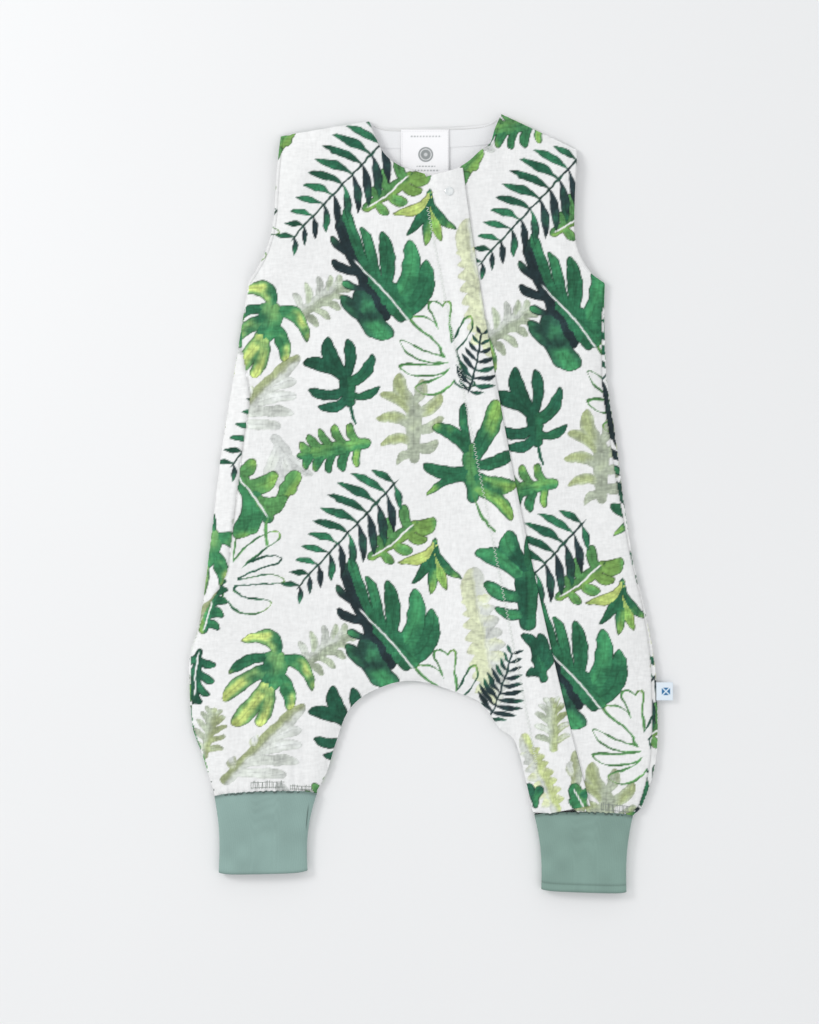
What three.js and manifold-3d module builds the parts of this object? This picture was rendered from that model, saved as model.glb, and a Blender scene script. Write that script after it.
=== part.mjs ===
// A baby sleeping bag with legs, lying flat on its back.
// Millimetres, +Z up, head end towards +Y, origin under the middle of the whole object.
//
// The cloth is stacked in layers from the floor up: back panel, back lining, the space for the
// child, front lining, zip, front panels, and the flap that covers the zip. The zip runs in a
// straight line from the neck to the right ankle, so its parts are built in a turned group, the
// zip frame, whose +Y runs up the zip and whose +X runs across it towards the right panel.

import * as THREE from 'three';
import { mergeVertices } from 'three/addons/utils/BufferGeometryUtils.js';
import Module from 'manifold-3d';

const wasm = await Module();
wasm.setup();

// ---------------------------------------------------------------- driving dimensions

const GAP = 0.3;
const CLOTH = 1.0;
const LINING = 0.6;
const INTERIOR = 6.0;
const SEAM_WIDTH = 5;
const BINDING_WIDTH = 3;

const TAPE = { thickness: 0.5, width: 16 };
const TEETH = { length: 545, pitch: 6, halfGap: 0.8, reach: 1.6, spine: 1.0, height: 1.3 };
const SLIDER = { width: 9.6, length: 11, plate: 0.6, post: 0.9, top: -3.5 };
const PULL = { length: 16, width: 5.4, thickness: 0.8, barrel: 0.85, bore: 0.65, pin: 0.42 };
const FLAP = { hinge: -16, top: 32, bottom: -553, end: -594 };
const SNAP = { across: 2.9, along: 12.7, radius: 4.2, shank: 0.8, hole: 1.2 };
const CUFF = { wall: 1.6, seam: 3 };
const NECK_LABEL = { left: -29, right: 17.5, top: 362, bottom: 316, thickness: 0.4 };
const SIDE_TAG = { inner: 219.1, outer: 234.1, top: -173, bottom: -190.5, layer: 0.5, slot: 0.5 };

const ZIP_TOP = new THREE.Vector2(17, 288);
const ZIP_ANGLE = THREE.MathUtils.degToRad(11.1);

// Heights of the layers, each one a gap above the one below it.
const Z_BACK_LINING = CLOTH + GAP;
const Z_INSIDE = Z_BACK_LINING + LINING;
const Z_FRONT_LINING = Z_INSIDE + INTERIOR;
const Z_SLIDER_FOOT = Z_FRONT_LINING + LINING + GAP;
const Z_TAPE = Z_SLIDER_FOOT + SLIDER.plate + GAP;
const Z_FRONT = Z_TAPE + TAPE.thickness + GAP;
const Z_FRONT_TOP = Z_FRONT + CLOTH;
const Z_TEETH = Z_TAPE + 0.1;
const Z_SLIDER_TOP = Z_TEETH + TEETH.height + 0.35;
const Z_PULL_AXIS = Z_SLIDER_TOP + SLIDER.plate + 1.1;
const Z_FLAP_CROWN = Z_PULL_AXIS + 1.2;

// ---------------------------------------------------------------- outline of the cloth

// Each curve runs anticlockwise round the garment, so that the cloth is on its left.
const point = (x, y) => new THREE.Vector2(x, y);
const spline = (...pairs) => new THREE.SplineCurve(pairs.map(([x, y]) => point(x, y)));
const samples = (curve, count) => curve.getSpacedPoints(count);

const ARM_LEFT = spline([-145.5, 355.5], [-149.5, 316], [-152.5, 272], [-161, 241], [-176.5, 214]);
const SIDE_LEFT = spline([-176.5, 214], [-187, 148], [-202, 56], [-213, -34], [-223, -109],
  [-233, -145], [-233.6, -173], [-231, -215], [-221, -244], [-210, -280]);
const INSEAM = spline([-110.5, -277.5], [-101, -260], [-92, -231], [-79, -199], [-54, -180],
  [-16, -171.5], [34, -186], [51, -196], [66, -217], [81, -230], [91, -265], [98.5, -298.7]);
const SIDE_RIGHT = spline([198, -299], [205, -291], [216.5, -254], [219.2, -215], [216.5, -157],
  [206.5, -102], [195, -54], [186, 6], [177.5, 71], [170, 120], [167.5, 179], [168, 213]);
const ARM_RIGHT = spline([168, 213], [155, 222.5], [143.5, 241], [138.7, 262], [139, 300],
  [141.5, 342]);
const NECK_RIGHT = point(68, 376.8);
const NECK_LEFT = point(-60, 370);
const NECK_FRONT = spline([68, 376.8], [61.5, 362], [57, 348], [47.5, 341], [36, 330.5], [24, 323.5],
  [3, 317], [-16.5, 321.5], [-30, 326], [-43.5, 336], [-51.5, 349], [-60, 370]);
const NECK_BACK = spline([68, 376.8], [50, 366.5], [0, 364], [-42, 363.5], [-60, 370]);

// A run of points moved towards the cloth by a distance.
function inset(points, distance) {
  return points.map((here, i) => {
    const before = points[Math.max(i - 1, 0)];
    const after = points[Math.min(i + 1, points.length - 1)];
    const along = after.clone().sub(before).normalize();
    return point(here.x - along.y * distance, here.y + along.x * distance);
  });
}

// World position of a place in the zip frame, and the distance of a point across the zip.
function zipPoint(across, along) {
  return point(across, along).rotateAround(point(0, 0), ZIP_ANGLE).add(ZIP_TOP);
}
function acrossZip(p) {
  return p.clone().sub(ZIP_TOP).rotateAround(point(0, 0), -ZIP_ANGLE).x;
}

// ---------------------------------------------------------------- shaping helpers

function slab(points, bottom, thickness) {
  const settings = { depth: thickness, bevelEnabled: false };
  const geometry = new THREE.ExtrudeGeometry(new THREE.Shape(points), settings);
  return geometry.translate(0, 0, bottom);
}

// A strip along a run of points, between two distances from it.
function ribbon(points, near, far, bottom, thickness) {
  const outline = [...inset(points, near), ...inset(points, far).reverse()];
  return slab(outline, bottom, thickness);
}

function block(left, right, low, high, bottom, top) {
  const geometry = new THREE.BoxGeometry(right - left, high - low, top - bottom);
  return geometry.translate((left + right) / 2, (low + high) / 2, (bottom + top) / 2);
}

function toSolid(geometry) {
  const bare = geometry.clone();
  bare.deleteAttribute('normal');
  bare.deleteAttribute('uv');
  const merged = mergeVertices(bare, 1e-4);
  return new wasm.Manifold(new wasm.Mesh({
    numProp: 3,
    vertProperties: new Float32Array(merged.attributes.position.array),
    triVerts: new Uint32Array(merged.index.array),
  }));
}

function toGeometry(solid) {
  const mesh = solid.getMesh();
  const geometry = new THREE.BufferGeometry();
  geometry.setAttribute('position', new THREE.BufferAttribute(mesh.vertProperties, 3));
  geometry.setIndex(new THREE.BufferAttribute(mesh.triVerts, 1));
  geometry.computeVertexNormals();
  return geometry;
}

function join(...geometries) {
  return toGeometry(geometries.map(toSolid).reduce((sum, next) => sum.add(next)));
}

function cut(geometry, ...tools) {
  return toGeometry(tools.map(toSolid).reduce((rest, tool) => rest.subtract(tool), toSolid(geometry)));
}

// A round solid about +Z from a closed profile of radius and height.
function turned(profile, segments = 20) {
  return new THREE.LatheGeometry(profile.map(([r, z]) => point(r, z)), segments).rotateX(Math.PI / 2);
}

function cylinder(radius, bottom, top, segments = 16) {
  return turned([[0, bottom], [radius, bottom], [radius, top], [0, top]], segments);
}

// A round bar across the zip frame.
function crossBar(radius, halfLength, along, height, segments = 12) {
  const bar = new THREE.CylinderGeometry(radius, radius, 2 * halfLength, segments);
  return bar.rotateZ(Math.PI / 2).translate(0, along, height);
}

// ---------------------------------------------------------------- materials

const paint = (color, roughness, metalness = 0) => ({ color, roughness, metalness });
const MATERIALS = {
  printed_muslin: paint(0xdfe8dc, 0.95),
  white_muslin: paint(0xf1f0ee, 0.95),
  sage_rib: paint(0x8ba69e, 0.9),
  woven_label: paint(0xf4f4f2, 0.85),
  zip_tape: paint(0xe9e9e6, 0.9),
  zip_coil: paint(0xf0f0ee, 0.45),
  zip_metal: paint(0xd9dadb, 0.35, 0.8),
  pearl_snap: paint(0xe8ebe9, 0.3),
};

const garment = new THREE.Group();
const zipFrame = new THREE.Group();
zipFrame.position.set(ZIP_TOP.x, ZIP_TOP.y, 0);
zipFrame.rotation.z = ZIP_ANGLE;
garment.add(zipFrame);

function add(name, geometry, material, parent = garment) {
  const mesh = new THREE.Mesh(geometry, new THREE.MeshStandardMaterial(MATERIALS[material]));
  mesh.name = name;
  parent.add(mesh);
}

// ---------------------------------------------------------------- panels and linings

const armLeft = samples(ARM_LEFT, 12);
const sideLeft = samples(SIDE_LEFT, 20);
const inseam = samples(INSEAM, 30);
const sideRight = samples(SIDE_RIGHT, 22);
const armRight = samples(ARM_RIGHT, 12);
const neckFront = samples(NECK_FRONT, 26);
const neckBack = samples(NECK_BACK, 10);
const edge = BINDING_WIDTH + GAP;

function backOutline() {
  return [
    ...inset(armLeft, edge),
    ...sideLeft.slice(1),
    ...inseam,
    ...sideRight.slice(0, -1),
    ...inset(armRight, edge),
    ...inset(neckBack, edge),
  ];
}

// The left panel runs from the left side to the line where the flap begins.
function leftOutline(innerEdge) {
  const neck = inset(neckFront, edge).filter((p) => acrossZip(p) < innerEdge - 0.5);
  return [
    ...inset(armLeft, edge),
    ...sideLeft.slice(1),
    ...inseam,
    zipPoint(innerEdge, FLAP.end),
    zipPoint(innerEdge, FLAP.top - edge + 2),
    ...neck,
  ];
}

// The right panel starts beside the teeth. Above them it has a tongue that carries the snap.
function rightOutline(innerEdge, tongueEdge, tongueFoot) {
  const neck = inset(neckFront, edge).filter((p) => acrossZip(p) > tongueEdge + 0.5);
  return [
    zipPoint(innerEdge, FLAP.end - 1),
    ...sideRight.slice(0, -1),
    ...inset(armRight, edge),
    ...neck,
    zipPoint(tongueEdge, FLAP.top - edge - 2),
    zipPoint(tongueEdge, tongueFoot),
    zipPoint(innerEdge, tongueFoot),
  ];
}

const TONGUE_EDGE = -8;
const TONGUE_FOOT = 3;
const PANEL_TO_ZIP = 6;
const UNDERLAY_HALF = 18;

add('back_panel', slab(backOutline(), 0, CLOTH), 'printed_muslin');
add('back_lining', slab(backOutline(), Z_BACK_LINING, LINING), 'white_muslin');
add('front_panel_left', slab(leftOutline(FLAP.hinge - GAP), Z_FRONT, CLOTH), 'printed_muslin');

const snapAt = zipPoint(SNAP.across, SNAP.along);
const snapHole = (bottom, top) => cylinder(SNAP.hole, bottom, top).translate(snapAt.x, snapAt.y, 0);
const rightPanel = slab(rightOutline(PANEL_TO_ZIP, TONGUE_EDGE, TONGUE_FOOT), Z_FRONT, CLOTH);
add('front_panel_right', cut(rightPanel, snapHole(Z_FRONT - 1, Z_FRONT_TOP + 1)), 'printed_muslin');

const liningEdge = UNDERLAY_HALF + GAP;
add('front_lining_left', slab(leftOutline(-liningEdge), Z_FRONT_LINING, LINING), 'white_muslin');
add('front_lining_right',
  slab(rightOutline(liningEdge, liningEdge, TONGUE_FOOT), Z_FRONT_LINING, LINING), 'white_muslin');

// ---------------------------------------------------------------- seams and bindings

const seamBottom = Z_INSIDE + GAP;
const seamHeight = INTERIOR - 2 * GAP;
const seamStrip = (points) => ribbon(points, 0.4, SEAM_WIDTH, seamBottom, seamHeight);
const withoutEnds = (points) => points.slice(1, -1);

// A run of points whose first and last stretches are shortened by a fraction of themselves.
function trimmed(points, startFraction, endFraction) {
  const start = points[0].clone().lerp(points[1], startFraction);
  const end = points.at(-1).clone().lerp(points.at(-2), endFraction);
  return [start, ...withoutEnds(points), end];
}

add('side_seam_left', seamStrip(trimmed(sideLeft, 0.4, 0.1)), 'white_muslin');
add('side_seam_right', seamStrip(trimmed(sideRight, 0.1, 0.4)), 'white_muslin');
add('inseam', seamStrip(trimmed(inseam, 0.1, 0.1)), 'white_muslin');

function shoulderLine(neck, tip, from, to) {
  return [neck.clone().lerp(tip, from), neck.clone().lerp(tip, to)];
}
add('shoulder_seam_left', seamStrip(shoulderLine(NECK_LEFT, armLeft[0], 0.08, 0.93)),
  'white_muslin');
add('shoulder_seam_right', seamStrip(shoulderLine(armRight.at(-1), NECK_RIGHT, 0.07, 0.92)),
  'white_muslin');

// A binding has a strand on the back layer, one on the front layer, and a turn at each end.
function armholeBinding(edgePoints) {
  const [first, second] = edgePoints;
  const [nextToLast, last] = edgePoints.slice(-2);
  const turn = (from, to) => ribbon([from, to], 0, BINDING_WIDTH, 0, Z_FRONT_TOP);
  return join(
    ribbon(edgePoints, 0, BINDING_WIDTH, 0, CLOTH),
    ribbon(edgePoints, 0, BINDING_WIDTH, Z_FRONT, CLOTH),
    turn(first, first.clone().lerp(second, 0.3)),
    turn(last.clone().lerp(nextToLast, 0.3), last),
  );
}
add('armhole_binding_left', armholeBinding(armLeft), 'printed_muslin');
add('armhole_binding_right', armholeBinding(armRight), 'printed_muslin');

// The neck binding is open at the front, between the flap and the tongue under it.
const neckStrand = withoutEnds(neckFront);
const leftOfFlap = neckStrand.filter((p) => acrossZip(p) < FLAP.hinge - 1);
const rightOfTongue = neckStrand.filter((p) => acrossZip(p) > TONGUE_EDGE);

add('neck_binding_back', ribbon(withoutEnds(neckBack), 0, BINDING_WIDTH, 0, CLOTH),
  'printed_muslin');
add('neck_binding_left', ribbon(leftOfFlap, 0, BINDING_WIDTH, Z_FRONT, CLOTH), 'printed_muslin');
add('neck_binding_right', ribbon(rightOfTongue, 0, BINDING_WIDTH, Z_FRONT, CLOTH),
  'printed_muslin');

const facingTop = inset(withoutEnds(withoutEnds(neckBack)), edge);
const facing = [...facingTop, ...inset(facingTop, 16).reverse()];
add('neck_facing', slab(facing, Z_INSIDE + GAP, TAPE.thickness), 'white_muslin');

// ---------------------------------------------------------------- cuffs

// A flattened tube between an upper and a lower edge, each given by its left and right ends.
function flatTube(upper, lower) {
  const width = upper[0].distanceTo(upper[1]);
  const round = (shape, r, half) => shape
    .absarc(half - r, 0, r, -Math.PI / 2, Math.PI / 2, false)
    .absarc(-half + r, 0, r, Math.PI / 2, 3 * Math.PI / 2, false);
  const radius = Z_FRONT_TOP / 2;
  const section = round(new THREE.Shape(), radius, width / 2);
  section.holes.push(round(new THREE.Path(), radius - CUFF.wall, width / 2 - CUFF.wall));
  const tube = new THREE.ExtrudeGeometry(section, {
    depth: 1, steps: 1, bevelEnabled: false, curveSegments: 6,
  });
  const position = tube.attributes.position;
  for (let i = 0; i < position.count; i += 1) {
    const across = position.getX(i) / width + 0.5;
    const top = upper[0].clone().lerp(upper[1], across);
    const bottom = lower[0].clone().lerp(lower[1], across);
    const place = top.lerp(bottom, position.getZ(i));
    position.setXYZ(i, place.x, place.y, position.getY(i) + radius);
  }
  return tube;
}

function addCuff(side, upper, lower) {
  const raised = (height) => upper.map((p) => point(p.x, p.y + height));
  add(`cuff_${side}`, flatTube(upper, lower), 'sage_rib');
  add(`cuff_seam_${side}`, flatTube(raised(CUFF.seam), raised(GAP)), 'sage_rib');
}
addCuff('left', [point(-209.5, -284), point(-110.5, -281)],
  [point(-205.5, -356.5), point(-119.5, -354.5)]);
addCuff('right', [point(100, -302.2), point(195, -303)],
  [point(106.5, -372.5), point(189, -375.4)]);

// ---------------------------------------------------------------- labels

add('neck_label', block(NECK_LABEL.left, NECK_LABEL.right, NECK_LABEL.bottom, NECK_LABEL.top,
  Z_INSIDE + 2 * GAP + TAPE.thickness, Z_INSIDE + 2 * GAP + TAPE.thickness + NECK_LABEL.thickness),
'woven_label');

// The side tag is one strip folded over on itself, with the fold at its outer end.
const tagHeight = 2 * SIDE_TAG.layer + SIDE_TAG.slot;
const tagBottom = Z_INSIDE + (INTERIOR - tagHeight) / 2;
const tagStrip = block(SIDE_TAG.inner, SIDE_TAG.outer, SIDE_TAG.bottom, SIDE_TAG.top,
  tagBottom, tagBottom + tagHeight);
const tagSlot = block(SIDE_TAG.inner - 1, SIDE_TAG.outer - SIDE_TAG.layer, SIDE_TAG.bottom - 1,
  SIDE_TAG.top + 1, tagBottom + SIDE_TAG.layer, tagBottom + SIDE_TAG.layer + SIDE_TAG.slot);
add('side_tag', cut(tagStrip, tagSlot), 'woven_label');

// ---------------------------------------------------------------- zip

add('zip_underlay', block(-UNDERLAY_HALF, UNDERLAY_HALF, FLAP.end + 30, FLAP.top - 8,
  Z_FRONT_LINING, Z_FRONT_LINING + LINING), 'white_muslin', zipFrame);

const tapeInner = TEETH.halfGap + TEETH.reach + TEETH.spine + GAP;
const rowBottom = -TEETH.length;

// One row of teeth: a spine with square teeth that point at the middle of the zip.
function teethRow() {
  const outline = [point(tapeInner - GAP, -2), point(tapeInner - GAP, rowBottom)];
  const spineEdge = TEETH.halfGap + TEETH.reach;
  for (let y = rowBottom; y < -2 - TEETH.pitch; y += TEETH.pitch) {
    outline.push(point(TEETH.halfGap, y), point(TEETH.halfGap, y + TEETH.pitch / 2));
    outline.push(point(spineEdge, y + TEETH.pitch / 2), point(spineEdge, y + TEETH.pitch));
  }
  outline.push(point(spineEdge, -2));
  return slab(outline, Z_TEETH, TEETH.height);
}

for (const [side, sign] of [['left', -1], ['right', 1]]) {
  const turn = sign < 0 ? Math.PI : 0;
  const middle = (rowBottom - 2) / 2;
  const row = teethRow().translate(0, -middle, 0).rotateZ(turn).translate(0, middle, 0);
  add(`zip_teeth_${side}`, row, 'zip_coil', zipFrame);
  const near = sign * tapeInner;
  const far = sign * (tapeInner + TAPE.width);
  add(`zip_tape_${side}`, block(Math.min(near, far), Math.max(near, far), rowBottom - 6, 1,
    Z_TAPE, Z_TAPE + TAPE.thickness), 'zip_tape', zipFrame);
  const stop = [sign * TEETH.halfGap, sign * (tapeInner - GAP)].sort((a, b) => a - b);
  add(`zip_top_stop_${side}`, block(stop[0], stop[1], -2 + GAP, 1.6, Z_TEETH,
    Z_TEETH + TEETH.height), 'zip_metal', zipFrame);
}
add('zip_bottom_stop', block(-tapeInner + GAP, tapeInner - GAP, rowBottom - 4, rowBottom - GAP,
  Z_TEETH, Z_TEETH + TEETH.height), 'zip_metal', zipFrame);

// The slider has a plate under the teeth and one over them, joined by a post between the rows.
// Two side walls keep the rows in, and two ears on top carry the pin that the pull turns on.
const sliderMiddle = SLIDER.top - SLIDER.length / 2;
const pullAxis = SLIDER.top - 3;
const half = SLIDER.width / 2;

function sliderBody() {
  const low = SLIDER.top - SLIDER.length;
  const earInner = PULL.width / 2 - 0.4;
  const ear = (sign) => {
    const [a, b] = [sign * earInner, sign * (earInner + 0.9)].sort((p, q) => p - q);
    return block(a, b, pullAxis - 1.1, pullAxis + 1.1, Z_SLIDER_TOP + 0.1, Z_PULL_AXIS + 0.8);
  };
  const wall = (sign) => {
    const [a, b] = [sign * (half - 0.8), sign * half].sort((p, q) => p - q);
    return block(a, b, low, SLIDER.top, Z_FRONT, Z_SLIDER_TOP + 0.2);
  };
  return join(
    block(-half, half, low, SLIDER.top, Z_SLIDER_FOOT, Z_SLIDER_FOOT + SLIDER.plate),
    block(-half, half, low, SLIDER.top, Z_SLIDER_TOP, Z_SLIDER_TOP + SLIDER.plate),
    block(-SLIDER.post / 2, SLIDER.post / 2, SLIDER.top - 4, SLIDER.top - 0.5,
      Z_SLIDER_FOOT + 0.1, Z_SLIDER_TOP + 0.1),
    wall(-1), wall(1), ear(-1), ear(1),
    crossBar(PULL.pin, earInner + 0.4, pullAxis, Z_PULL_AXIS),
  );
}
add('zip_slider', sliderBody(), 'zip_metal', zipFrame);

function pullTab() {
  const tongue = new THREE.Shape();
  const tip = PULL.width / 2;
  const neck = PULL.width / 2 - 0.9;
  tongue.moveTo(-neck, pullAxis);
  tongue.lineTo(-tip, pullAxis - 5);
  tongue.lineTo(-tip, pullAxis - PULL.length + tip);
  tongue.absarc(0, pullAxis - PULL.length + tip, tip, Math.PI, 2 * Math.PI, false);
  tongue.lineTo(tip, pullAxis - 5);
  tongue.lineTo(neck, pullAxis);
  const hole = new THREE.Path();
  hole.absarc(0, pullAxis - PULL.length + tip, 1.2, 0, 2 * Math.PI, false);
  tongue.holes.push(hole);
  const plate = new THREE.ExtrudeGeometry(tongue, {
    depth: PULL.thickness, bevelEnabled: false, curveSegments: 8,
  }).translate(0, 0, Z_PULL_AXIS - PULL.thickness / 2);
  const barrel = crossBar(PULL.barrel, neck, pullAxis, Z_PULL_AXIS);
  return cut(join(plate, barrel), crossBar(PULL.bore, PULL.width, pullAxis, Z_PULL_AXIS));
}
add('zip_pull', pullTab(), 'zip_metal', zipFrame);

// ---------------------------------------------------------------- flap over the zip

// The flap leaves the left panel at its hinge line, arches over the slider and comes down on the
// right panel. Its free edge bows towards the zip half way down.
function freeEdge(along) {
  const t = (along + 263) / 290;
  return 11.5 + 8.5 * t * t;
}

function flapPart(top, bottom, rows) {
  const stations = [
    [FLAP.hinge, Z_FRONT],
    [FLAP.hinge + 5, Z_FRONT + 0.45 * (Z_FLAP_CROWN - Z_FRONT)],
    [-PANEL_TO_ZIP, Z_FLAP_CROWN],
    [0, Z_FLAP_CROWN + 0.1],
    [PANEL_TO_ZIP + 1, Z_FLAP_CROWN],
    [null, Z_FRONT_TOP + 0.4],
  ];
  const columns = stations.length - 1;
  const sheet = new THREE.BoxGeometry(1, top - bottom, CLOTH, columns, rows, 1);
  const position = sheet.attributes.position;
  for (let i = 0; i < position.count; i += 1) {
    const along = position.getY(i) + (top + bottom) / 2;
    const station = stations[Math.round((position.getX(i) + 0.5) * columns)];
    const across = station[0] === null ? freeEdge(along) : station[0];
    position.setXYZ(i, across, along, station[1] + CLOTH / 2 + position.getZ(i));
  }
  return sheet;
}

const snapInFlap = cylinder(SNAP.hole, Z_FLAP_CROWN - 1, Z_FLAP_CROWN + 3)
  .translate(SNAP.across, SNAP.along, 0);
add('zip_flap', cut(flapPart(FLAP.top, FLAP.bottom, 12), snapInFlap), 'printed_muslin', zipFrame);
add('zip_flap_end', flapPart(FLAP.bottom - GAP, FLAP.end, 1), 'printed_muslin', zipFrame);

// ---------------------------------------------------------------- press snap

// Cap and socket are riveted through the flap, stud and post through the tongue under it.
const flapTop = Z_FLAP_CROWN + CLOTH + 0.1;
const socketTop = Z_FLAP_CROWN - 0.2;
const studTop = socketTop - 0.5;
const place = (geometry) => geometry.translate(SNAP.across, SNAP.along, 0);
const r = SNAP.radius;

add('snap_cap', place(turned([
  [0, socketTop - 0.6], [SNAP.shank, socketTop - 0.6], [SNAP.shank, flapTop + 0.2], [r - 0.4, flapTop + 0.2],
  [r, flapTop + 0.6], [r - 0.8, flapTop + 1.0], [1.6, flapTop + 0.8], [0, flapTop + 0.75],
])), 'pearl_snap', zipFrame);
add('snap_socket', place(turned([
  [SNAP.shank + 0.3, socketTop], [SNAP.shank + 0.3, socketTop - 0.9], [2.0, socketTop - 0.9],
  [2.0, socketTop - 1.6], [r - 0.6, socketTop - 1.6], [r - 0.2, socketTop - 1.2], [r - 0.2, socketTop],
  [SNAP.shank + 0.3, socketTop],
])), 'pearl_snap', zipFrame);
add('snap_stud', place(turned([
  [SNAP.shank + 0.25, Z_FRONT_TOP + 0.3], [r - 0.6, Z_FRONT_TOP + 0.3], [r - 0.6, Z_FRONT_TOP + 0.7],
  [1.6, Z_FRONT_TOP + 0.7], [1.6, studTop - 1.0], [SNAP.shank + 0.25, studTop - 0.9],
  [SNAP.shank + 0.25, Z_FRONT_TOP + 0.3],
])), 'pearl_snap', zipFrame);
add('snap_post', place(turned([
  [0, Z_FRONT - 1.1], [r - 0.6, Z_FRONT - 1.1], [r - 0.6, Z_FRONT - 0.3], [SNAP.shank, Z_FRONT - 0.3],
  [SNAP.shank, Z_FRONT_TOP + 0.6], [0, Z_FRONT_TOP + 0.6],
])), 'pearl_snap', zipFrame);

export default garment;
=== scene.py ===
"""Looks of the baby sleeping bag with legs: printed double muslin, white lining, sage rib cuffs.

Lengths are millimetres until a mesh is made, and every mesh is made in metres in the CAD's frame:
+Z up, head end towards +Y, the garment lying on its back. The outlines and heights repeat the
CAD's. The print is worked out from leaf shapes and kept as a colour on the cloth's own points.
"""
import math

import bpy
import numpy as np
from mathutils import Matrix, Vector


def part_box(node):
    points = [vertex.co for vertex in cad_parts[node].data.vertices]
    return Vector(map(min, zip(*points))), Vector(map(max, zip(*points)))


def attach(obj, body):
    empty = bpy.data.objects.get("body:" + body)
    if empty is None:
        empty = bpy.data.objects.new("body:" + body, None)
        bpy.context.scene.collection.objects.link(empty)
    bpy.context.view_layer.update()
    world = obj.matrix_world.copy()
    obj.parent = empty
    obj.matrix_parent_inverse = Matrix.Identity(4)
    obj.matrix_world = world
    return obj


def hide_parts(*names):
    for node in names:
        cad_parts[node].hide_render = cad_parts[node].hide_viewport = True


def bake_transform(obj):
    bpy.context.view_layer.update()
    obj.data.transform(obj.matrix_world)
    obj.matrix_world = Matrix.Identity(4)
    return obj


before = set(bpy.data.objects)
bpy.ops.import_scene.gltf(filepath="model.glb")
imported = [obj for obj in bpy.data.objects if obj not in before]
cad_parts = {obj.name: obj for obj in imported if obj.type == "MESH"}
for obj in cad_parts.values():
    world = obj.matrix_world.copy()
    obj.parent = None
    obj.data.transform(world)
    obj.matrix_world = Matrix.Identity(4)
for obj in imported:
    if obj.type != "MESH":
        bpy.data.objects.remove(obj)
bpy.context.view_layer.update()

MM = 0.001

# ---- the garment's dimensions

ARM_LEFT = [(-145.5, 355.5), (-149.5, 316), (-152.5, 272), (-161, 241), (-176.5, 214)]
SIDE_LEFT = [(-176.5, 214), (-187, 148), (-202, 56), (-213, -34), (-223, -109), (-233, -145),
             (-233.6, -173), (-231, -215), (-221, -244), (-210, -280)]
INSEAM = [(-110.5, -277.5), (-101, -260), (-92, -231), (-79, -199), (-54, -180), (-16, -171.5),
          (34, -186), (51, -196), (66, -217), (81, -230), (91, -265), (98.5, -298.7)]
SIDE_RIGHT = [(198, -299), (205, -291), (216.5, -254), (219.2, -215), (216.5, -157), (206.5, -102),
              (195, -54), (186, 6), (177.5, 71), (170, 120), (167.5, 179), (168, 213)]
ARM_RIGHT = [(168, 213), (155, 222.5), (143.5, 241), (138.7, 262), (139, 300), (141.5, 342)]
NECK_FRONT = [(68, 376.8), (61.5, 362), (57, 348), (47.5, 341), (36, 330.5), (24, 323.5), (3, 317),
              (-16.5, 321.5), (-30, 326), (-43.5, 336), (-51.5, 349), (-60, 370)]
NECK_BACK = [(68, 376.8), (50, 366.5), (0, 364), (-42, 363.5), (-60, 370)]
CUFF_LEFT = dict(upper=((-209.5, -284), (-110.5, -281)), lower=((-205.5, -356.5), (-119.5, -354.5)))
CUFF_RIGHT = dict(upper=((100, -302.2), (195, -303)), lower=((106.5, -372.5), (189, -375.4)))

ZIP_TOP = np.array((17.0, 288.0))
ZIP_ANGLE = math.radians(11.1)
ACROSS = np.array((math.cos(ZIP_ANGLE), math.sin(ZIP_ANGLE)))
ALONG = np.array((-math.sin(ZIP_ANGLE), math.cos(ZIP_ANGLE)))
FLAP_HINGE, FLAP_TOP, FLAP_END = -16.0, 32.0, -594.0
PANEL_TO_ZIP, TONGUE_EDGE, TONGUE_FOOT = 6.0, -8.0, 3.0
TAPE_INNER, TAPE_OUTER, TAPE_END = 3.7, 19.7, -551.0

# Heights above the floor.
Z_HINGE = 11.5
Z_FRONT_TOP = 11.2
Z_CROWN = 15.3
Z_FLAP_EDGE = 12.9
Z_EDGE = 3.6
Z_BACK = 0.35
Z_TAPE = 9.95
Z_GUARD = 8.2
CUFF_HEIGHT = 11.3
LINING_GAP = 0.9


def zip_point(across, along):
    """A place on the garment from its distances across and along the zip."""
    return ZIP_TOP + np.multiply.outer(across, ACROSS) + np.multiply.outer(along, ALONG)


def in_zip_frame(xy):
    """How far across and along the zip each point lies."""
    moved = xy - ZIP_TOP
    return moved @ ACROSS, moved @ ALONG


def free_edge(along):
    """How far across the zip the flap's slightly curved free edge lies."""
    return 11.5 + 8.5 * ((along + 263) / 290) ** 2


# ---- curves and noise


def resampled(points, step):
    """The same run of points at even spacing, with both ends kept."""
    points = np.asarray(points, float)
    lengths = np.r_[0, np.cumsum(np.hypot(*np.diff(points[:, :2], axis=0).T))]
    count = max(2, int(round(lengths[-1] / step)) + 1)
    where = np.linspace(0, lengths[-1], count)
    return np.stack([np.interp(where, lengths, column) for column in points.T], 1)


def spline(points, step=2.0):
    """A Catmull-Rom curve through the points."""
    p = np.asarray(points, float)
    p = np.vstack([p[0], p, p[-1]])
    t = np.linspace(0, 1, 24, endpoint=False)[:, None]
    runs = []
    for a, b, c, d in zip(p, p[1:], p[2:], p[3:]):
        pull, push = (c - a) / 2, (d - b) / 2
        runs.append((2 * b - 2 * c + pull + push) * t ** 3 + (3 * c - 3 * b - 2 * pull - push) * t ** 2
                    + pull * t + b)
    return resampled(np.vstack(runs + [p[-1:]]), step)


def tangents(line):
    ahead = np.gradient(line, axis=0)
    return ahead / np.linalg.norm(ahead, axis=1, keepdims=True)


def inset(line, distance):
    """The run of points moved to its left by a distance, or by one distance for each point."""
    t = tangents(line[:, :2])
    return line[:, :2] + np.stack([-t[:, 1], t[:, 0]], 1) * np.reshape(distance, (-1, 1))


def smooth(x, low=0.0, high=1.0):
    """A soft step from 0 at low to 1 at high."""
    t = np.clip((np.asarray(x, float) - low) / (high - low), 0, 1)
    return t * t * (3 - 2 * t)


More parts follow.
